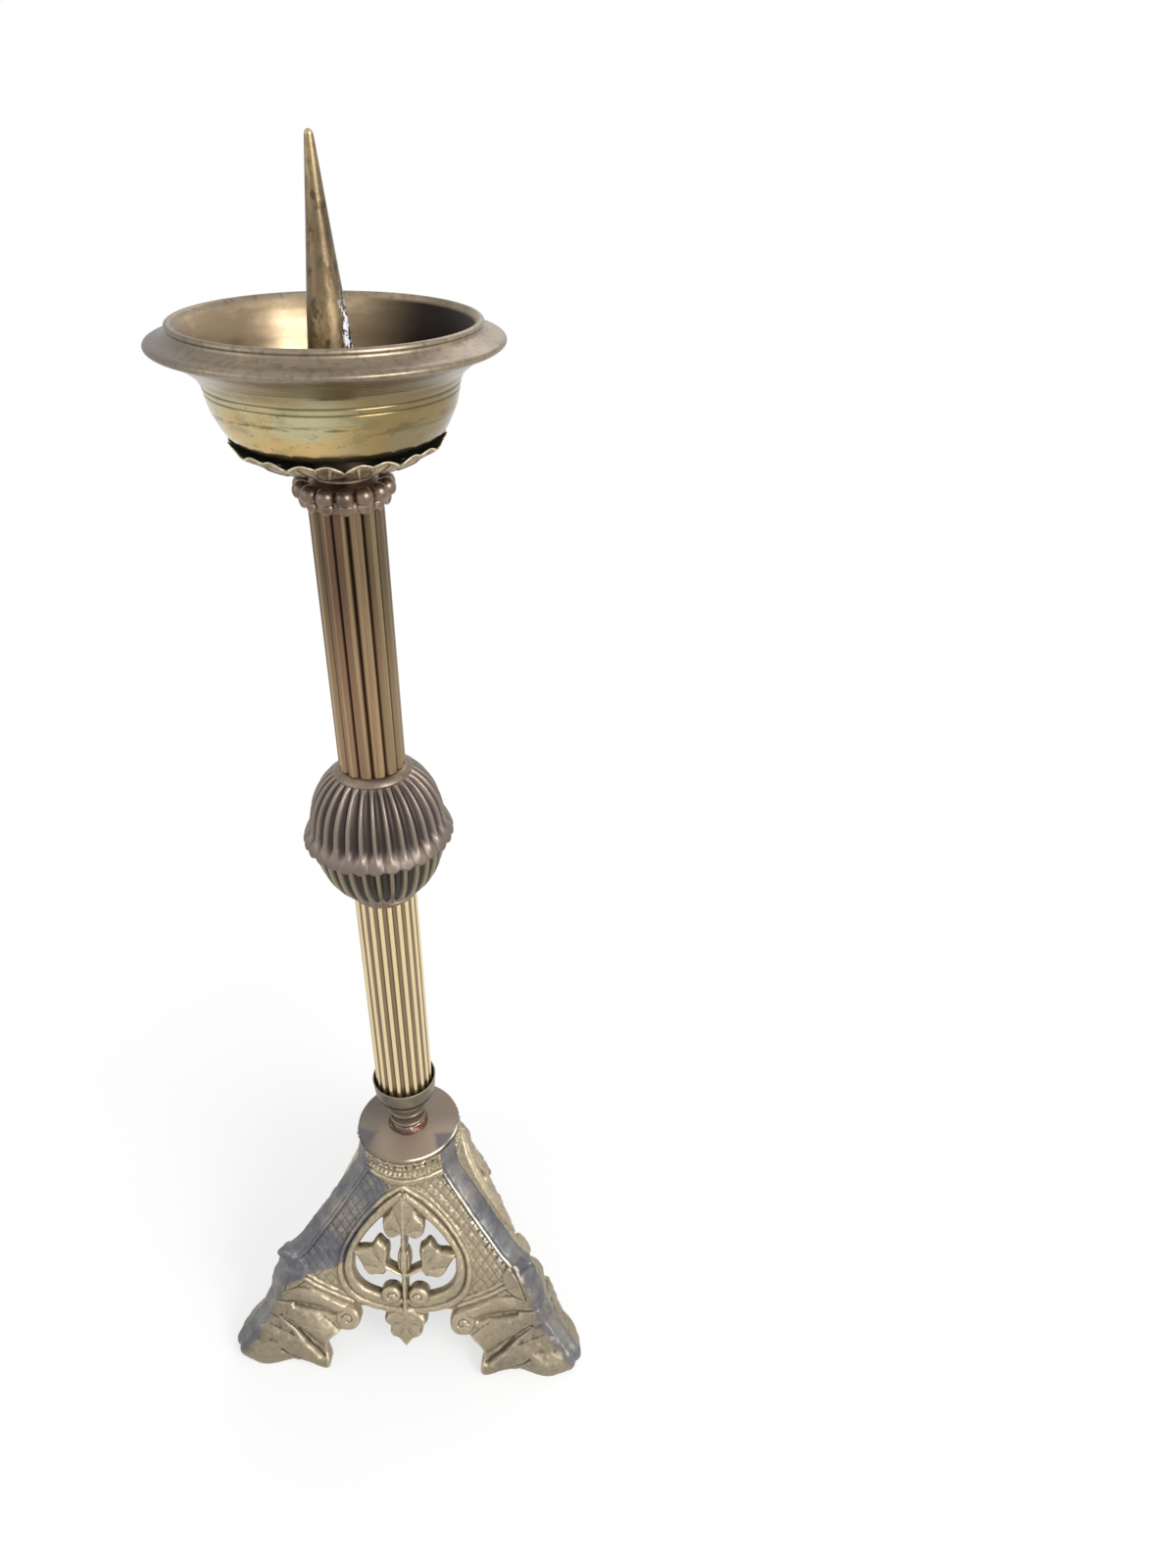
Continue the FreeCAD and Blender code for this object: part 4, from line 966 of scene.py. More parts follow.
def galleryLeaf():
    out = np.arange(0.0, gallery["rim"] + 0.7, gallery["step"])
    turn, radius = np.meshgrid(np.linspace(-halfLeaf, halfLeaf, 53), out)
    side = turn / halfLeaf
    shareOut = np.clip((radius - gallery["seat"]) / (gallery["rim"] - gallery["seat"]), 0, 1)
    rise = gallery["rise"] * (0.25 * shareOut + 0.75 * shareOut ** 1.6)
    x, y = radius * np.cos(turn), radius * np.sin(turn)
    base = np.stack([x, y, gallery["level"] + 0.5 + rise], -1)
    normal = gridNormals(base)
    normal *= np.sign(normal[..., 2:3] + 1e-9)
    hole = np.hypot(x - gallery["holeCircle"], y) - gallery["hole"]
    inside = np.minimum(leafEdge(side) - radius, hole)
    ruffle = (0.40 * np.cos(side * math.pi) - 0.36 * np.cos(side * tau)) * smoothStep(radius, 23, 32)
    arc = radius * turn
    veins = 0.55 * bell(arc, 0.5) + 0.35 * bell(np.abs(arc) - 0.30 * (radius - 15), 0.45)
    crease = -0.35 * bell((halfLeaf - np.abs(turn)) * radius, 0.7)
    puff = 0.42 * np.cos(side * math.pi / 2)
    relief = (veins + crease + puff) * smoothStep(radius, 14, 17) * smoothStep(inside, 0.2, 2.2)
    thin = gallery["skin"] / 2
    rounding = (0.25 * dome(np.clip(0.8 - inside, 0, 0.8), 0.8) - 0.25) * (inside < 0.8)
    return castSheet("gallery", base, normal, inside, thin + ruffle + rounding,
                     -thin + ruffle - relief - rounding)


def galleryPaint(skin):
    # the inside of the gallery is painted black as shade under the pan, and its rim is rubbed
    rim = skin.stored("rim")
    paintedShade = step01(skin.stored("upper"), 0.3, 0.8) * step01(rim, 0.9, 0.2)
    skin.tint(paintedShade * 0.94, (26, 24, 24))
    skin.metal -= paintedShade * 0.6
    skin.rough += paintedShade * 0.4
    skin.tint(step01(rim, 0.35, 0.95) * 0.75, (228, 214, 180))


galleryBrass = brassFinish(
    "galleryBrass", galleryPaint, dark=(84, 70, 54), body=(146, 124, 92), pale=(186, 162, 120),
    bright=(236, 220, 180), grime=(30, 26, 22), blotch=120, mottle=600, speck=0.4, rough=0.36, grain=0.12,
    wearFrom=0.06, wearTo=0.35, wear=0.9,
    stains=({"colour": (150, 118, 98), "scale": 120, "from": 0.58, "to": 0.68, "amount": 0.5},))
piece = galleryLeaf()
half = len(piece.data.vertices) // 2
storeValue(piece, "upper", np.arange(half * 2) < half)
angle, reach = aroundAxis(readPoints(piece.data))
storeValue(piece, "rim", smoothStep(reach - leafEdge(angle / halfLeaf), -0.5, -0.1))
shapeWith(piece, ringOf, gallery["leaves"], galleryBrass)
points = readPoints(piece.data)    # the thin sheet is bent down a little at the front
reach = aroundAxis(points)[1]
front = np.clip(-points[:, 1] / (reach + 1e-9), 0, 1)
points[:, 2] -= gallery["sag"] * front * smoothStep(reach, gallery["seat"], gallery["rim"])
writePoints(piece, points)
finished(piece, galleryBrass, "gallery_brass", "leaf_gallery", angle=60, wear=0.4, spread=1)
print("capital and gallery done")

# Foot panel: one cast sheet over the same surface as the CAD panel, with its relief as heights

foot = {
    "height": 110.6, "corner": 87.0, "facet": 3.5, "wall": 3.4, "step": 0.40, "seam": 0.04, "acrossTo": 96,
    "triangles": 188000, "hook": (7.0, 3.2),    # how far out and up the shoulder leaf's tip hooks
    # share of height, then shares of corner for the corner, the wall's middle and the leaf feet, and of facet
    "levelShares": [
        (-0.01, 1.010, 0.562, 0.665, 0.70), (0.0, 1.016, 0.558, 0.662, 0.70),
        (0.036, 1.036, 0.546, 0.650, 0.70), (0.090, 1.018, 0.527, 0.620, 0.72),
        (0.140, 0.978, 0.510, 0.590, 0.75), (0.181, 0.934, 0.496, 0.560, 0.80),
        (0.226, 0.880, 0.479, 0.522, 0.85), (0.289, 0.832, 0.458, 0.480, 0.90),
        (0.371, 0.796, 0.432, 0.442, 1.0), (0.452, 0.744, 0.405, 0.406, 1.0),
        (0.538, 0.632, 0.377, 0.377, 1.0), (0.610, 0.555, 0.353, 0.353, 1.0),
        (0.678, 0.477, 0.330, 0.330, 1.0), (0.751, 0.402, 0.303, 0.303, 1.0),
        (0.809, 0.340, 0.283, 0.283, 1.0), (0.854, 0.297, 0.266, 0.266, 1.0),
        (0.892, 0.269, 0.256, 0.256, 1.0), (0.922, 0.256, 0.2535, 0.2535, 1.0),
        (0.963, 0.254, 0.253, 0.253, 1.0), (1.01, 0.254, 0.253, 0.253, 1.0)],
    "opening": [(-1, 91.5), (0, 90.5), (5, 85.0), (10, 78.5), (15.5, 72), (20, 65.7), (22.7, 60.5),
                (23.5, 55.5), (23.2, 50.5), (21.5, 46), (18.6, 42.6), (14.6, 40.2), (8, 38.2), (0, 37),
                (-1, 37)],
    "mouldingEdge": [(-1, 98), (0, 97.6), (5, 93.5), (12, 86.0), (18.7, 77.8), (24, 70.2), (27.5, 64.3),
                     (30, 59), (31.1, 53), (30.9, 47.5), (29.3, 41.5), (26.0, 36.2), (21, 32.6), (15, 30.2),
                     (8, 28.6), (0, 28), (-1, 28)],
    "silhouette": [(-9, 120), (110, 120), (110, -5), (57.5, -5), (55.0, 0.2), (51.0, 2.9), (46.5, 3.2),
                   (42.0, 1.8), (38.6, -1.0), (35.2, 0.9), (35.4, 6.5), (37.4, 11.4), (35.0, 16.2),
                   (31.0, 18.8), (27.8, 20.6), (22.4, 22.2), (20.7, 26.5), (22.0, 30.4), (17.5, 30.6),
                   (11.0, 29.0), (8.0, 28.4), (0, 28), (-9, 28)],
    # fills the top of the arch behind the leaf
    "web": [(-3, 96), (0, 95), (14, 80), (9.4, 77.2), (-3, 77.2)],
    "topLeaf": [(-1.5, 94), (0, 93.2), (2.4, 90.0), (4.9, 86.2), (5.3, 82.4), (7.4, 80.4), (9.8, 77.4),
                (9.5, 73.4), (8.2, 70.4), (5.0, 69.4), (2.8, 70.6), (0, 72.6), (-1.5, 72.6)],
    "topLeafVeins": [[(0, 72), (0, 91)], [(0, 73.5), (4.3, 78.5), (8.8, 77.2)], [(0, 73.5), (7.0, 70.8)]],
    "sideLeaf": [(6.6, 54.3), (7.6, 57.5), (6.6, 61.5), (7.2, 65.6), (9.0, 66.0), (11.6, 69.3), (14.0, 66.4),
                 (15.4, 63.0), (18.6, 63.0), (24.4, 61.6), (22.8, 59.0), (20.4, 55.4), (18.6, 51.8),
                 (16.6, 49.2), (12.4, 50.0), (9.6, 49.2), (8.2, 51.6)],
    "sideLeafVeins": [[(8.2, 54.6), (11.8, 67.6)], [(8.2, 54.6), (15.5, 59.0), (22.8, 60.8)],
                      [(8.2, 54.6), (15.8, 50.6)], [(8.2, 54.6), (8.2, 64.4)]],
    "pendant": [(-1.5, 33), (3.0, 32.0), (5.4, 30.4), (9.0, 28.4), (10.4, 25.2), (8.9, 22.4), (6.9, 21.4),
                (7.9, 18.6), (6.2, 16.0), (3.4, 15.2), (1.5, 12.6), (0, 10.2), (-1.5, 10.2)],
    "pendantVeins": [[(0, 30), (0, 11.5)], [(0, 27.5), (9.4, 25.4)], [(0, 24), (6.8, 17.8)]],
    "twig": [(0, 50.2), (2.6, 51.4), (5.4, 53.2), (8.4, 54.8)],
    "volute": (6.3, 39.2, 4.9), "knot": (0, 58.0, 3.2, 7.0), "footScroll": (26.4, 26.0, 5.7),
    "archBorder": [(24.5, 33.5), (31.0, 36.6), (38.0, 40.2), (45.0, 44.6), (52.0, 49.6)],
    "leafFoot": [(23.5, 31.5), (29.0, 34.2), (36.0, 37.4), (43.0, 41.5), (49.0, 45.5), (56.0, 50), (110, 50),
                 (110, -6), (30.0, -6), (33.0, 8.0), (20.0, 18.0), (19.0, 27.0)],
    "lobes": [([(62, 36), (50, 36.0), (40, 35.0), (31, 31.6)], 4.6, 2.3),
              ([(60, 28.5), (50, 25.0), (41, 20.6), (34.5, 15.6)], 5.6, 2.3),
              ([(66, 13), (54, 8.4), (45, 4.6), (36.6, 1.6)], 6.6, 2.2)],
    "furrows": [([(58, 23.6), (51.5, 18.4), (45.5, 12.2), (38.5, 7.0)], 0.95, 2.4),
                ([(51, 30.2), (42, 28.6), (34.0, 26.6)], 1.1, 2.1),
                ([(63, 33.0), (57, 31.4), (52, 31.6)], 0.6, 0.8),
                ([(49.6, 4.4), (54.0, 5.6), (58, 9.0)], 0.8, 0.8)],
    # middle and spread from the corner, middle and reach in height, rise
    "toe": (11.5, 10.5, 3.5, 11.5, 5.4),
    "shoulderLeaf": [(44.6, 47.0), (44.4, 51.0), (46.4, 55.6), (50.0, 60.0), (53, 63), (75, 63), (75, 36),
                     (58.0, 36.5), (51.5, 39.5), (46.5, 43.0)],
    "diaper": (4.3, 5.6),    # width and height of a lozenge
    "neckRolls": ((99.5, 1.05, 1.5), (97.9, 0.75, 1.1)),    # level, half width and rise
}


def ivyLeaf(px, pz, name, top, fall, edge):
    # a leaf with its lobes ridged along the veins and a fine groove down each vein
    inside = outlineDistance(px, pz, cutCorners(foot[name]))
    ridge = np.minimum.reduce([lineDistance(px, pz, vein) for vein in foot[name + "Veins"]])
    height = top - fall * ridge - 0.30 * bell(ridge, 0.28)
    height = edge + (height - edge) * smoothStep(inside, -0.1, 1.5)
    return inside, np.maximum(height, edge - 0.2)


def footSurface():
    # rows follow the height and columns the length across the right half of the panel
    shares = np.array(foot["levelShares"])
    fine = np.arange(-0.8, foot["height"] + 0.8, 0.1)
    blur = np.exp(-np.linspace(-2.2, 2.2, 31) ** 2 / 2)
    blur /= blur.sum()
    tracks = []
    for number, size in enumerate((foot["corner"], foot["corner"], foot["corner"], foot["facet"]), start=1):
        track = size * np.interp(fine / foot["height"], shares[:, 0], shares[:, number])
        tracks.append(np.convolve(np.pad(track, 15, "edge"), blur, "valid"))
    slope = np.hypot(0.1, 0.5 * (np.gradient(tracks[0]) * 0.8 + np.gradient(tracks[1])))
    travel = np.cumsum(slope)
    heights = np.interp(np.arange(travel[0], travel[-1], foot["step"]), travel, fine)
    reach, middle, leafy, facet = (np.interp(heights, fine, track) for track in tracks)
    across = np.arange(0, foot["acrossTo"], foot["step"])
    base = np.zeros((len(heights), len(across), 3))
    base[..., 2] = heights[:, None]
    halfLength = np.zeros(len(heights))
    bulge = np.zeros((len(heights), len(across)))
    corner = np.array([math.cos(math.pi / 6), -math.sin(math.pi / 6)])
    along = np.array([-math.sin(math.pi / 6), -math.cos(math.pi / 6)])
    t = np.linspace(0, 1, 120)[:, None]
    for row, height in enumerate(heights):
        tip = corner * reach[row]
        edge = tip + along * facet[row]
        seam = tip + along * foot["seam"] / 2
        bow = (1 - t ** 2) ** (1 + 2 * smoothStep(-height, -103, -88))    # flat towards the corner lower down
        curve = np.hstack([edge[0] * t, edge[1] - (middle[row] + edge[1]) * bow])
        path = np.vstack([curve, edge + (seam - edge) * np.linspace(0, 1, 14)[1:, None]])
        length = np.concatenate([[0], np.cumsum(np.linalg.norm(np.diff(path, axis=0), axis=1))])
        halfLength[row] = length[-1]
        beyond = path[-1] + (seam - edge) / (np.linalg.norm(seam - edge) + 1e-9) * 8
        path = np.vstack([path, beyond])
        length = np.append(length, length[-1] + 8)
        base[row, :, 0] = np.interp(across, length, path[:, 0])
        base[row, :, 1] = np.interp(across, length, path[:, 1])
        bulge[row] = (leafy[row] - middle[row]) * np.clip(1 - (base[row, :, 0] / edge[0]) ** 2, 0, 1) ** 2
    return base, across, halfLength[:, None] - across, bulge


def spiralBall(px, pz, ball, wind):
    # a rolled leaf end: a ball with a spiral groove
    x, z, size = ball
    depth = size - np.hypot(px - x, pz - z)
    turn = np.arctan2(pz - z, (px - x) * wind)
    spiral = size - depth - size * (0.30 + 0.26 * (turn / math.pi))
    curl = 0.9 + 2.3 * np.sqrt(np.clip(1 - (1 - depth / size) ** 2 * 0.9, 0, 1)) - 0.9 * bell(spiral, 0.42)
    return depth, curl


def neckBand(height, base, fromSeam):
    # under the plate: pierced blocks, a hollow, a crest of small leaves and two rolls
    px, pz = base[..., 0], base[..., 2]
    turnAt = np.degrees(np.arctan2(px, -base[..., 1]))
    band = np.zeros_like(px)
    for level, wide, rise in foot["neckRolls"]:
        band = layOver(band, rise * dome(pz - level, wide), np.abs(pz - level) < wide)
    band = np.where(pz > 100.6, 0.0, band)
    crest = 103.9 - 3.4 * np.abs((turnAt / 5.6) % 1 - 0.5) - pz
    band = layOver(band, 0.95 * smoothStep(crest, 0, 0.5) * smoothStep(pz, 100.9, 101.5), pz > 100.9)
    band -= 0.9 * smoothStep(pz, 102.8, 104.2) * smoothStep(-crest, 0, 0.4) * (pz > 102)
    pitch = 10.4    # degrees from block to block
    block = (turnAt / pitch) % 1 - 0.5
    blockWide = pitch * 0.39    # the same in millimetres
    sway = 0.16 * np.sin(turnAt * 0.9)
    pierced = 1 - np.hypot((block + sway) * blockWide / 1.05, (pz - 108.7) / 1.35)
    small = 1 - np.hypot((np.abs(block) - 0.5) * blockWide / 0.6, (pz - 107.6) / 0.55)
    lintel = smoothStep(pz - 0.35 * np.cos(block * tau), 106.4, 107.0)
    band = np.where(pz > 104, -0.9 + 1.7 * lintel, band)
    band += 0.45 * bell(pierced, 0.25) * (pz > 106.6)
    band -= 2.2 * smoothStep(pierced, 0.02, 0.45) + 1.3 * smoothStep(small, 0, 0.5) * (pz > 106.6)
    zone = (pz > 97.1) * smoothStep(fromSeam, 4.4, 5.4)
    return height * (1 - zone) + band * zone


def leafFeet(height, px, pz, fromSeam, bulge):
    # the acanthus foot: three lobes parted by furrows, a round toe and a rolled inner end
    leafFoot = outlineDistance(px, pz, cutCorners(foot["leafFoot"]))
    mask = smoothStep(leafFoot, 0, 1.6)
    lobed = np.zeros_like(px)
    for path, wide, tall in foot["lobes"]:
        away = lineDistance(px, pz, cutCorners(path, closed=False))
        lobed = np.maximum(lobed, tall * (1 - (away / wide) ** 2))
    middle, spread, level, reach, rise = foot["toe"]
    toe = rise * bell(fromSeam - middle, spread) * np.clip(1 - ((pz - level) / reach) ** 2, 0, 1)
    lobed = np.maximum(lobed, toe) + 0.35 * np.minimum(lobed, toe)
    for path, wide, deep in foot["furrows"]:
        lobed -= deep * bell(lineDistance(px, pz, cutCorners(path, closed=False)), wide)
    under = np.clip(1 - pz / 2.6, 0, 1)
    lobed -= 1.1 * (1 - np.sqrt(1 - under ** 2 * 0.98))
    cast = 0.2 + lobed + bulge * 0.75
    nose = smoothStep(-pz, -13, -5) * smoothStep(-fromSeam, -26, -16)
    over = cast - (0.4 + 0.15 * fromSeam + 4.0 * nose)    # the leaves lie low beside the corner
    cast = (cast - 0.5 * (over + np.sqrt(over ** 2 + 0.4))) * mask
    return np.where(leafFoot > 0, np.maximum(cast, height * (1 - mask)), height), leafFoot


def lozenges(px, pz, across):
    # diaper ground: a raised cushion with a dot between grooves that cross
    wide, tall = foot["diaper"]
    run = across / wide
    rise = (pz - 60) / tall
    ground = 0.30
    for line in (run + rise, run - rise):
        off = np.abs((line + 0.5) % 1 - 0.5) * wide * 0.8
        ground = ground - 0.30 * bell(off, 0.38)
    dot = np.hypot((run + rise) % 1 - 0.5, (run - rise) % 1 - 0.5) * wide
    return ground + 0.22 * dome(dot, 0.75)


def footPanel():
    base, across, fromSeam, bulge = footSurface()
    normal = gridNormals(base)
    normal *= -np.sign(normal[..., 1:2] + 1e-9)
    px, pz = base[..., 0], base[..., 2]
    opening, moulding, silhouette, shoulder = (
        outlineDistance(px, pz, cutCorners(foot[name]))
        for name in ("opening", "mouldingEdge", "silhouette", "shoulderLeaf"))
    web = outlineDistance(px, pz, foot["web"])
    leaves = [ivyLeaf(px, pz, "topLeaf", 2.7, 0.34, 1.0), ivyLeaf(px, pz, "sideLeaf", 2.7, 0.36, 0.9),
              ivyLeaf(px, pz, "pendant", 2.9, 0.30, 1.2)]
    knotX, knotZ, knotWide, knotTall = foot["knot"]
    stemWidth = 1.3 + 0.35 * bell(pz - 68, 2.5) + 0.3 * bell(pz - 46, 5)
    stem = np.where((pz > 13) & (pz < 92), stemWidth - px, -9.0)
    twigWidth = 1.15
    twig = twigWidth - lineDistance(px, pz, cutCorners(foot["twig"], closed=False))
    knot = knotWide * (1 - np.hypot((px - knotX) / knotWide, (pz - knotZ) / knotTall))
    volute, voluteCurl = spiralBall(px, pz, foot["volute"], 1)
    scroll, scrollCurl = spiralBall(px, pz, foot["footScroll"], -1)
    inOpening = np.maximum.reduce([-opening, leaves[0][0], leaves[1][0], stem, twig, knot, volute, web])
    outline = np.maximum.reduce([np.minimum(silhouette, inOpening), leaves[2][0], scroll])
    inside = np.minimum.reduce([outline, fromSeam, pz, foot["height"] - pz])

    # ground between the moulding, the neck band and the borders
    archLine = lineDistance(px, pz, foot["archBorder"])
    slope = np.interp(px, *zip(*foot["archBorder"]))
    ground = np.minimum.reduce([-moulding - 0.4, fromSeam - 5.4, 96.8 - pz, pz - slope - 1.6])
    height = (lozenges(px, pz, across) - 0.55) * smoothStep(ground, 0, 0.7)
    # moulding: a thin outer roll, a groove and a thick inner roll round the opening
    share = np.clip(moulding / (moulding - opening + 1e-9), 0, 1)
    rolls = np.where(share < 0.36, 0.1 + 1.35 * dome(share - 0.18, 0.18),
                     0.15 + 1.75 * dome(share - 0.71, 0.29))
    rolls = np.where((share >= 0.36) & (share < 0.42), 0.0, rolls)
    height = np.where((moulding > 0) & (opening < 0), rolls, height)
    height = np.where((opening > 0) & (web > 0), -0.2, height)
    height = neckBand(height, base, fromSeam)
    # corner band with a sharp rib beside it, and a pair of thin ribs along the arch between the feet
    upTo = smoothStep(pz, 50, 54) * smoothStep(-pz, -97.5, -96.5)
    height += 0.5 * (1 - np.clip(fromSeam / 5.0, 0, 1) ** 2) * smoothStep(pz, 46, 52)
    rib = fromSeam - 5.3
    height = layOver(height, (0.2 + 0.75 * dome(rib, 0.75)) * upTo, np.abs(rib) < 0.75)
    height = layOver(height, 1.1 * dome(archLine, 0.95), (archLine < 0.95) & (moulding < 0))
    aside = np.abs(archLine - 2.2)
    height = layOver(height, 0.5 * dome(aside, 0.6),
                     (aside < 0.6) & (pz > slope) & (moulding < 0) & (fromSeam > 5))
    # stem, twigs, knot, leaves and volutes
    for depth, wide, top in ((stem, stemWidth, 0.5), (twig, twigWidth, 0.4), (knot, knotWide, 1.3)):
        height = layOver(height, 2.2 * dome(wide - depth, wide) + top, depth > 0)
    height = layOver(height, 0.4 + 2.5 * dome(px, 1.3), (px < 1.3) & (pz > 30) & (pz < 90))
    height = np.where((knot > 0) & (px > 0.5), height - 0.7 * bell(px - 1.5, 0.35), height)
    for depth, leaf in leaves:
        height = layOver(height, leaf, depth > 0)
    height = layOver(height, voluteCurl, volute > 0)
    height, leafFoot = leafFeet(height, px, pz, fromSeam, bulge)
    height = layOver(height, scrollCurl * 0.8 + bulge * 0.75, scroll > 0)
    vein = np.abs(fromSeam - 5.6 + (pz - 50) * 0.10)    # shoulder leaf over the corner
    blade = 1.4 - 0.06 * vein - 0.45 * bell(vein, 0.5)
    height = layOver(height, blade * smoothStep(shoulder, 0, 1.5) + 0.6 * bulge * (pz < 45), shoulder > 0)
    # rounded rims and the uneven skin of a casting
    height -= roundedIn(outline, 1.25)
    soft = noiseField(px, pz, 5.5, 21) * 0.16 + noiseField(px, pz, 2.2, 22) * 0.06
    height += soft * smoothStep(pz, 0, 3) * smoothStep(fromSeam, 0, 4)
    back = 0.5 * bulge * (leafFoot > 0) - foot["wall"] + roundedIn(outline, 0.6) * 0.5 / 0.6
    # the shoulder leaf's tip hooks up and out of the corner
    hook = bell(fromSeam, 3.8) * bell(pz - 55.6, 2.7)
    out, up = foot["hook"]
    shift = (out * math.cos(math.pi / 6), -out * math.sin(math.pi / 6), up)
    piece = castSheet("panelFront", base + hook[..., None] * shift, normal, inside, height, back, mirror=True)
    writePoints(piece, np.maximum(readPoints(piece.data), (-1e9, -1e9, 0)))
    return piece


def noiseField(px, pz, scale, seed):
    # smooth seeded unevenness of a casting, about -1 to 1
    chance = np.random.default_rng(seed)
    total = np.zeros_like(px)
    for _ in range(10):
        angle = chance.uniform(0, tau)
        size = scale * chance.uniform(0.7, 1.6)
        total += np.sin((px * math.cos(angle) + pz * math.sin(angle)) / size * tau + chance.uniform(0, tau))
    return total / 4


def footPaint(skin):
    # blue grey tarnish over the corners, smeared wide on the left one, and a rib on the right one that is
    # rubbed and has a painted highlight
    ragged = skin.noise(70, 5.0, 0.65)
    patchy = 1.0 - step01(skin.noise(26, 3.0, 0.5), 0.52, 0.62) * 0.35
    tarnish = mixColour(step01(ragged, 0.40, 0.62), (92, 95, 104), (124, 124, 126))
    smeared = 0.0
    for name, amount in (("right", 0.85), ("rear", 0.7), ("left", 0.85)):
        along, aside = skin.towards(footCorners[name])
        off = abs(aside)
        if name == "left":    # the smear reaches far over the front panel above the foot
            smear = step01(skin.z, 0.040, 0.056) * step01(skin.z, 0.104, 0.092)
            off -= smear * step01(aside, -0.001, 0.001) * 0.010
        off += (ragged - 0.5) * 0.006
        mask = step01(off, 0.0062, 0.0040) * step01(along, 0.005, 0.010) * amount * patchy
        skin.tint(mask, tarnish)
        skin.rough += mask * 0.04
        smeared += mask
        if name == "right":
            # rubbed rib with a painted highlight
            rib = step01(abs(aside + 0.0052), 0.0011, 0.0005)
            rib *= step01(skin.z, 0.048, 0.054) * step01(skin.z, 0.098, 0.090)
            skin.tint(rib * (step01(skin.stored("proud"), 0.02, 0.2) * 0.9), (236, 224, 200))
    middle = step01(skin.reach(), 0.066, 0.050) * (0.28 - smeared)
    skin.tint(maths("MAXIMUM", middle, 0.0), (206, 190, 160))


footBrass = brassFinish(
    "footBrass", footPaint, dark=(98, 88, 74), body=(146, 135, 115), pale=(170, 158, 134),
    bright=(208, 195, 166), grime=(76, 66, 54), blotch=36, contrast=0.6, mottle=420, speck=0.35, rough=0.46,
    grain=0.16, grainScale=700, wearFrom=0.10, wearTo=0.6, wear=0.6, dirtFrom=0.03, dirtTo=0.32, dirt=0.85,
    stains=({"colour": (146, 128, 114), "scale": 28, "from": 0.55, "to": 0.68, "amount": 0.6},))
panel = footPanel()
triangles = sum(len(p.vertices) - 2 for p in panel.data.polygons)
panel.modifiers.new("lighter", "DECIMATE").ratio = min(1.0, foot["triangles"] / triangles)
panel.data = plainMesh(panel)
print("panel triangles", triangles, "kept", len(panel.data.polygons))
for name, node, turn in (("panelRight", "base_panel_right", 120), ("panelLeft", "base_panel_left", 240)):
    piece = addObject(name, panel.data.copy())
    piece.data.transform(Matrix.Rotation(math.radians(turn), 4, "Z"))
    finished(piece, footBrass, "foot_brass", node, angle=60, wear=0.5, spread=2)
finished(panel, footBrass, "foot_brass", "base_panel_front", angle=60, wear=0.5, spread=2)
print("foot done")

# Seams, rod and nut keep their CAD shapes

seamMetal = brassFinish("seamMetal", dark=(30, 28, 26), body=(44, 40, 36), pale=(60, 54, 46),
                        bright=(90, 82, 66), rough=0.6, metal=0.5, grain=0.2)
ironMetal = brassFinish(
    "ironMetal", dark=(40, 32, 27), body=(62, 52, 46), pale=(84, 72, 62), bright=(120, 112, 104), rough=0.6,
    metal=0.75, grain=0.25,
    stains=({"colour": (104, 58, 34), "scale": 160, "from": 0.5, "to": 0.64, "amount": 0.6},))
keptNodes = {"corner_braze_right": seamMetal, "corner_braze_rear": seamMetal, "corner_braze_left": seamMetal,
             "tie_rod": ironMetal, "foot_washer": ironMetal, "foot_nut": ironMetal}
for node, material in keptNodes.items():
    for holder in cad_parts[node].material_slots:
        holder.material = material

# Floor, light and camera

studio = {"floorColour": (0.86, 0.86, 0.86, 1), "fade": (0.08, 0.36), "worldLight": 0.98, "worldDark": 0.70,
          "darkFrom": 0.15}
lamps = {    # place, target, width and height, power
    "keyLight": ((0.95, -0.85, 0.95), (0, 0, 0.25), (0.7, 0.7), 16.0),
    "fillLight": ((-1.1, -0.6, 0.8), (0, 0, 0.25), (0.9, 0.9), 2.5),
    "backLight": ((0.3, 1.1, 1.2), (0, 0, 0.3), (0.9, 0.5), 2.5),
}


def backgroundRay(tree):
    # 1 for camera, glossy and transmission rays, which show the white background
    path = tree.nodes.new("ShaderNodeLightPath")
    camera, glossy, through = (Wire(path.outputs[f"Is {kind} Ray"])
                               for kind in ("Camera", "Glossy", "Transmission"))
    return maths("MAXIMUM", maths("MAXIMUM", camera, glossy), through)


def floorPaint():
    material = bpy.data.materials.new("paleFloor")
    material.use_nodes = True
    tree = material.node_tree
    shader = tree.nodes["Principled BSDF"]
    shader.inputs["Base Color"].default_value = studio["floorColour"]
    shader.inputs["Roughness"].default_value = 0.9
    place = addNode(tree, "ShaderNodeTexCoord", output="Object")
    away = addNode(tree, "ShaderNodeVectorMath", {0: place}, "Value", operation="LENGTH")
    seen = backgroundRay(tree) * (step01(away, *studio["fade"]) * 0.35 + 0.65)
    white = addNode(tree, "ShaderNodeEmission", {"Strength": 1.0})
    mixed = addNode(tree, "ShaderNodeMixShader", {0: seen, 1: Wire(shader.outputs[0]), 2: white})
    plug(tree.nodes["Material Output"].inputs["Surface"], mixed)
    return material


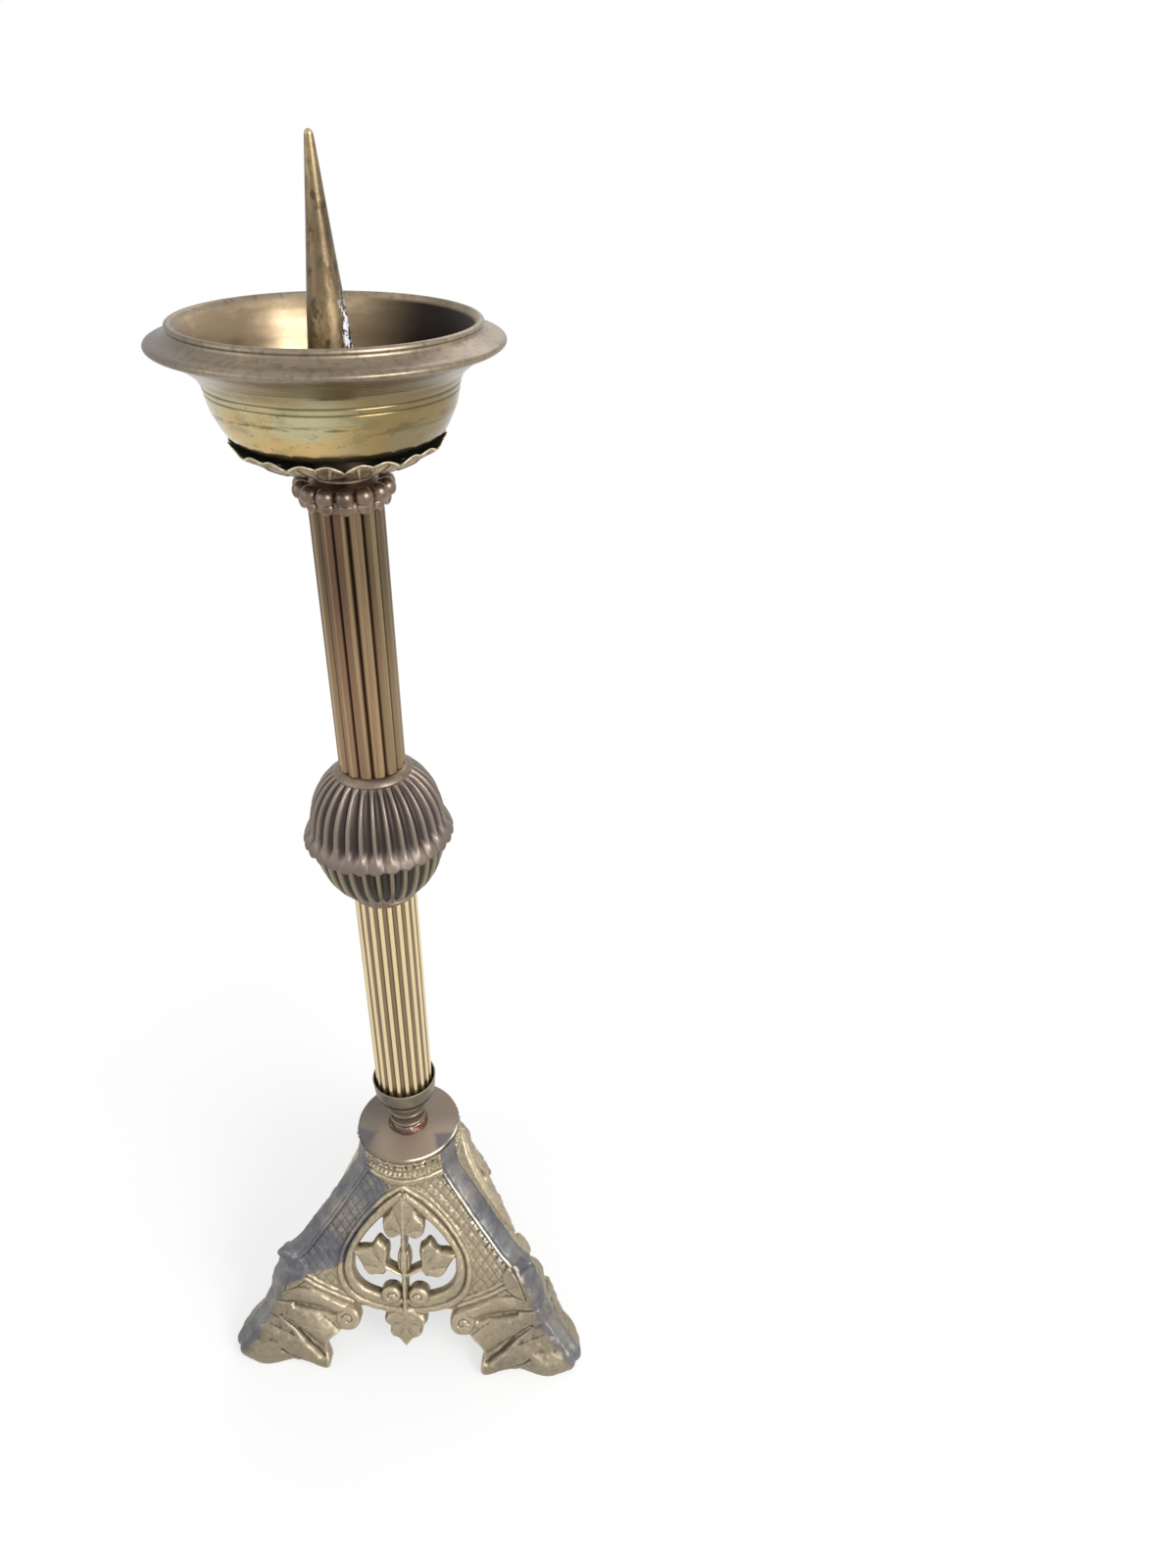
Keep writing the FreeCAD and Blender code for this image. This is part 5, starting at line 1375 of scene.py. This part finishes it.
def floorDisc(radius=3000, sides=96):
    # the floor lies just under the toes
    ring = [(radius * math.cos(k * tau / sides), radius * math.sin(k * tau / sides), -0.1)
            for k in range(sides)]
    floor = meshPiece("floor", ring, [tuple(range(sides))])
    floor.data.materials.append(floorPaint())


def areaLight(name, place, target, size, power):
    lamp = bpy.data.lights.new(name, "AREA")
    lamp.shape = "RECTANGLE"
    lamp.size, lamp.size_y = size
    lamp.energy = power
    holder = addObject(name, lamp)
    holder.location = place
    holder.rotation_euler = (Vector(target) - Vector(place)).to_track_quat("-Z", "Y").to_euler()


def worldLight():
    # soft white light from all round, dimmer from the left and from above
    world = bpy.data.worlds.new("studio")
    bpy.context.scene.world = world
    world.use_nodes = True
    sky = world.node_tree
    x, y, z = splitXyz(addNode(sky, "ShaderNodeTexCoord", output="Generated"))
    shade = maths("MAXIMUM", step01(x, studio["darkFrom"], -0.9), step01(z, 0.15, 0.9) * 0.12)
    soft = studio["worldLight"] - shade * studio["worldDark"]
    seen = backgroundRay(sky)
    background = sky.nodes["Background"]
    background.inputs[0].default_value = (1, 1, 1, 1)
    plug(background.inputs[1], seen + (1.0 - seen) * soft)


floorDisc()
for name, lamp in lamps.items():
    areaLight(name, *lamp)
worldLight()

view = {"focal": 1123.4, "frameHeight": 1600, "place": (77.7, -335.6, 514.0), "down": 32.915, "roll": 1.367,
        "turn": 1.2}    # focal length and frame in pixels, place in millimetres, angles in degrees
cameraData = bpy.data.cameras.new("camera")
cameraData.sensor_width = 36
cameraData.lens = view["focal"] / view["frameHeight"] * cameraData.sensor_width
cameraData.clip_start = 0.01
camera = addObject("camera", cameraData)
roll = Matrix.Rotation(math.radians(view["roll"]), 3, "Z")
lookDown = Euler((math.radians(90 - view["down"]), 0, 0)).to_matrix() @ roll
swing = Matrix.Rotation(math.radians(view["turn"]), 3, "Z")
camera.matrix_world = Matrix.Translation(swing @ (Vector(view["place"]) * mm)) @ (swing @ lookDown).to_4x4()
bpy.context.scene.camera = camera
bpy.context.scene.view_settings.view_transform = "Standard"

print("scene ready")
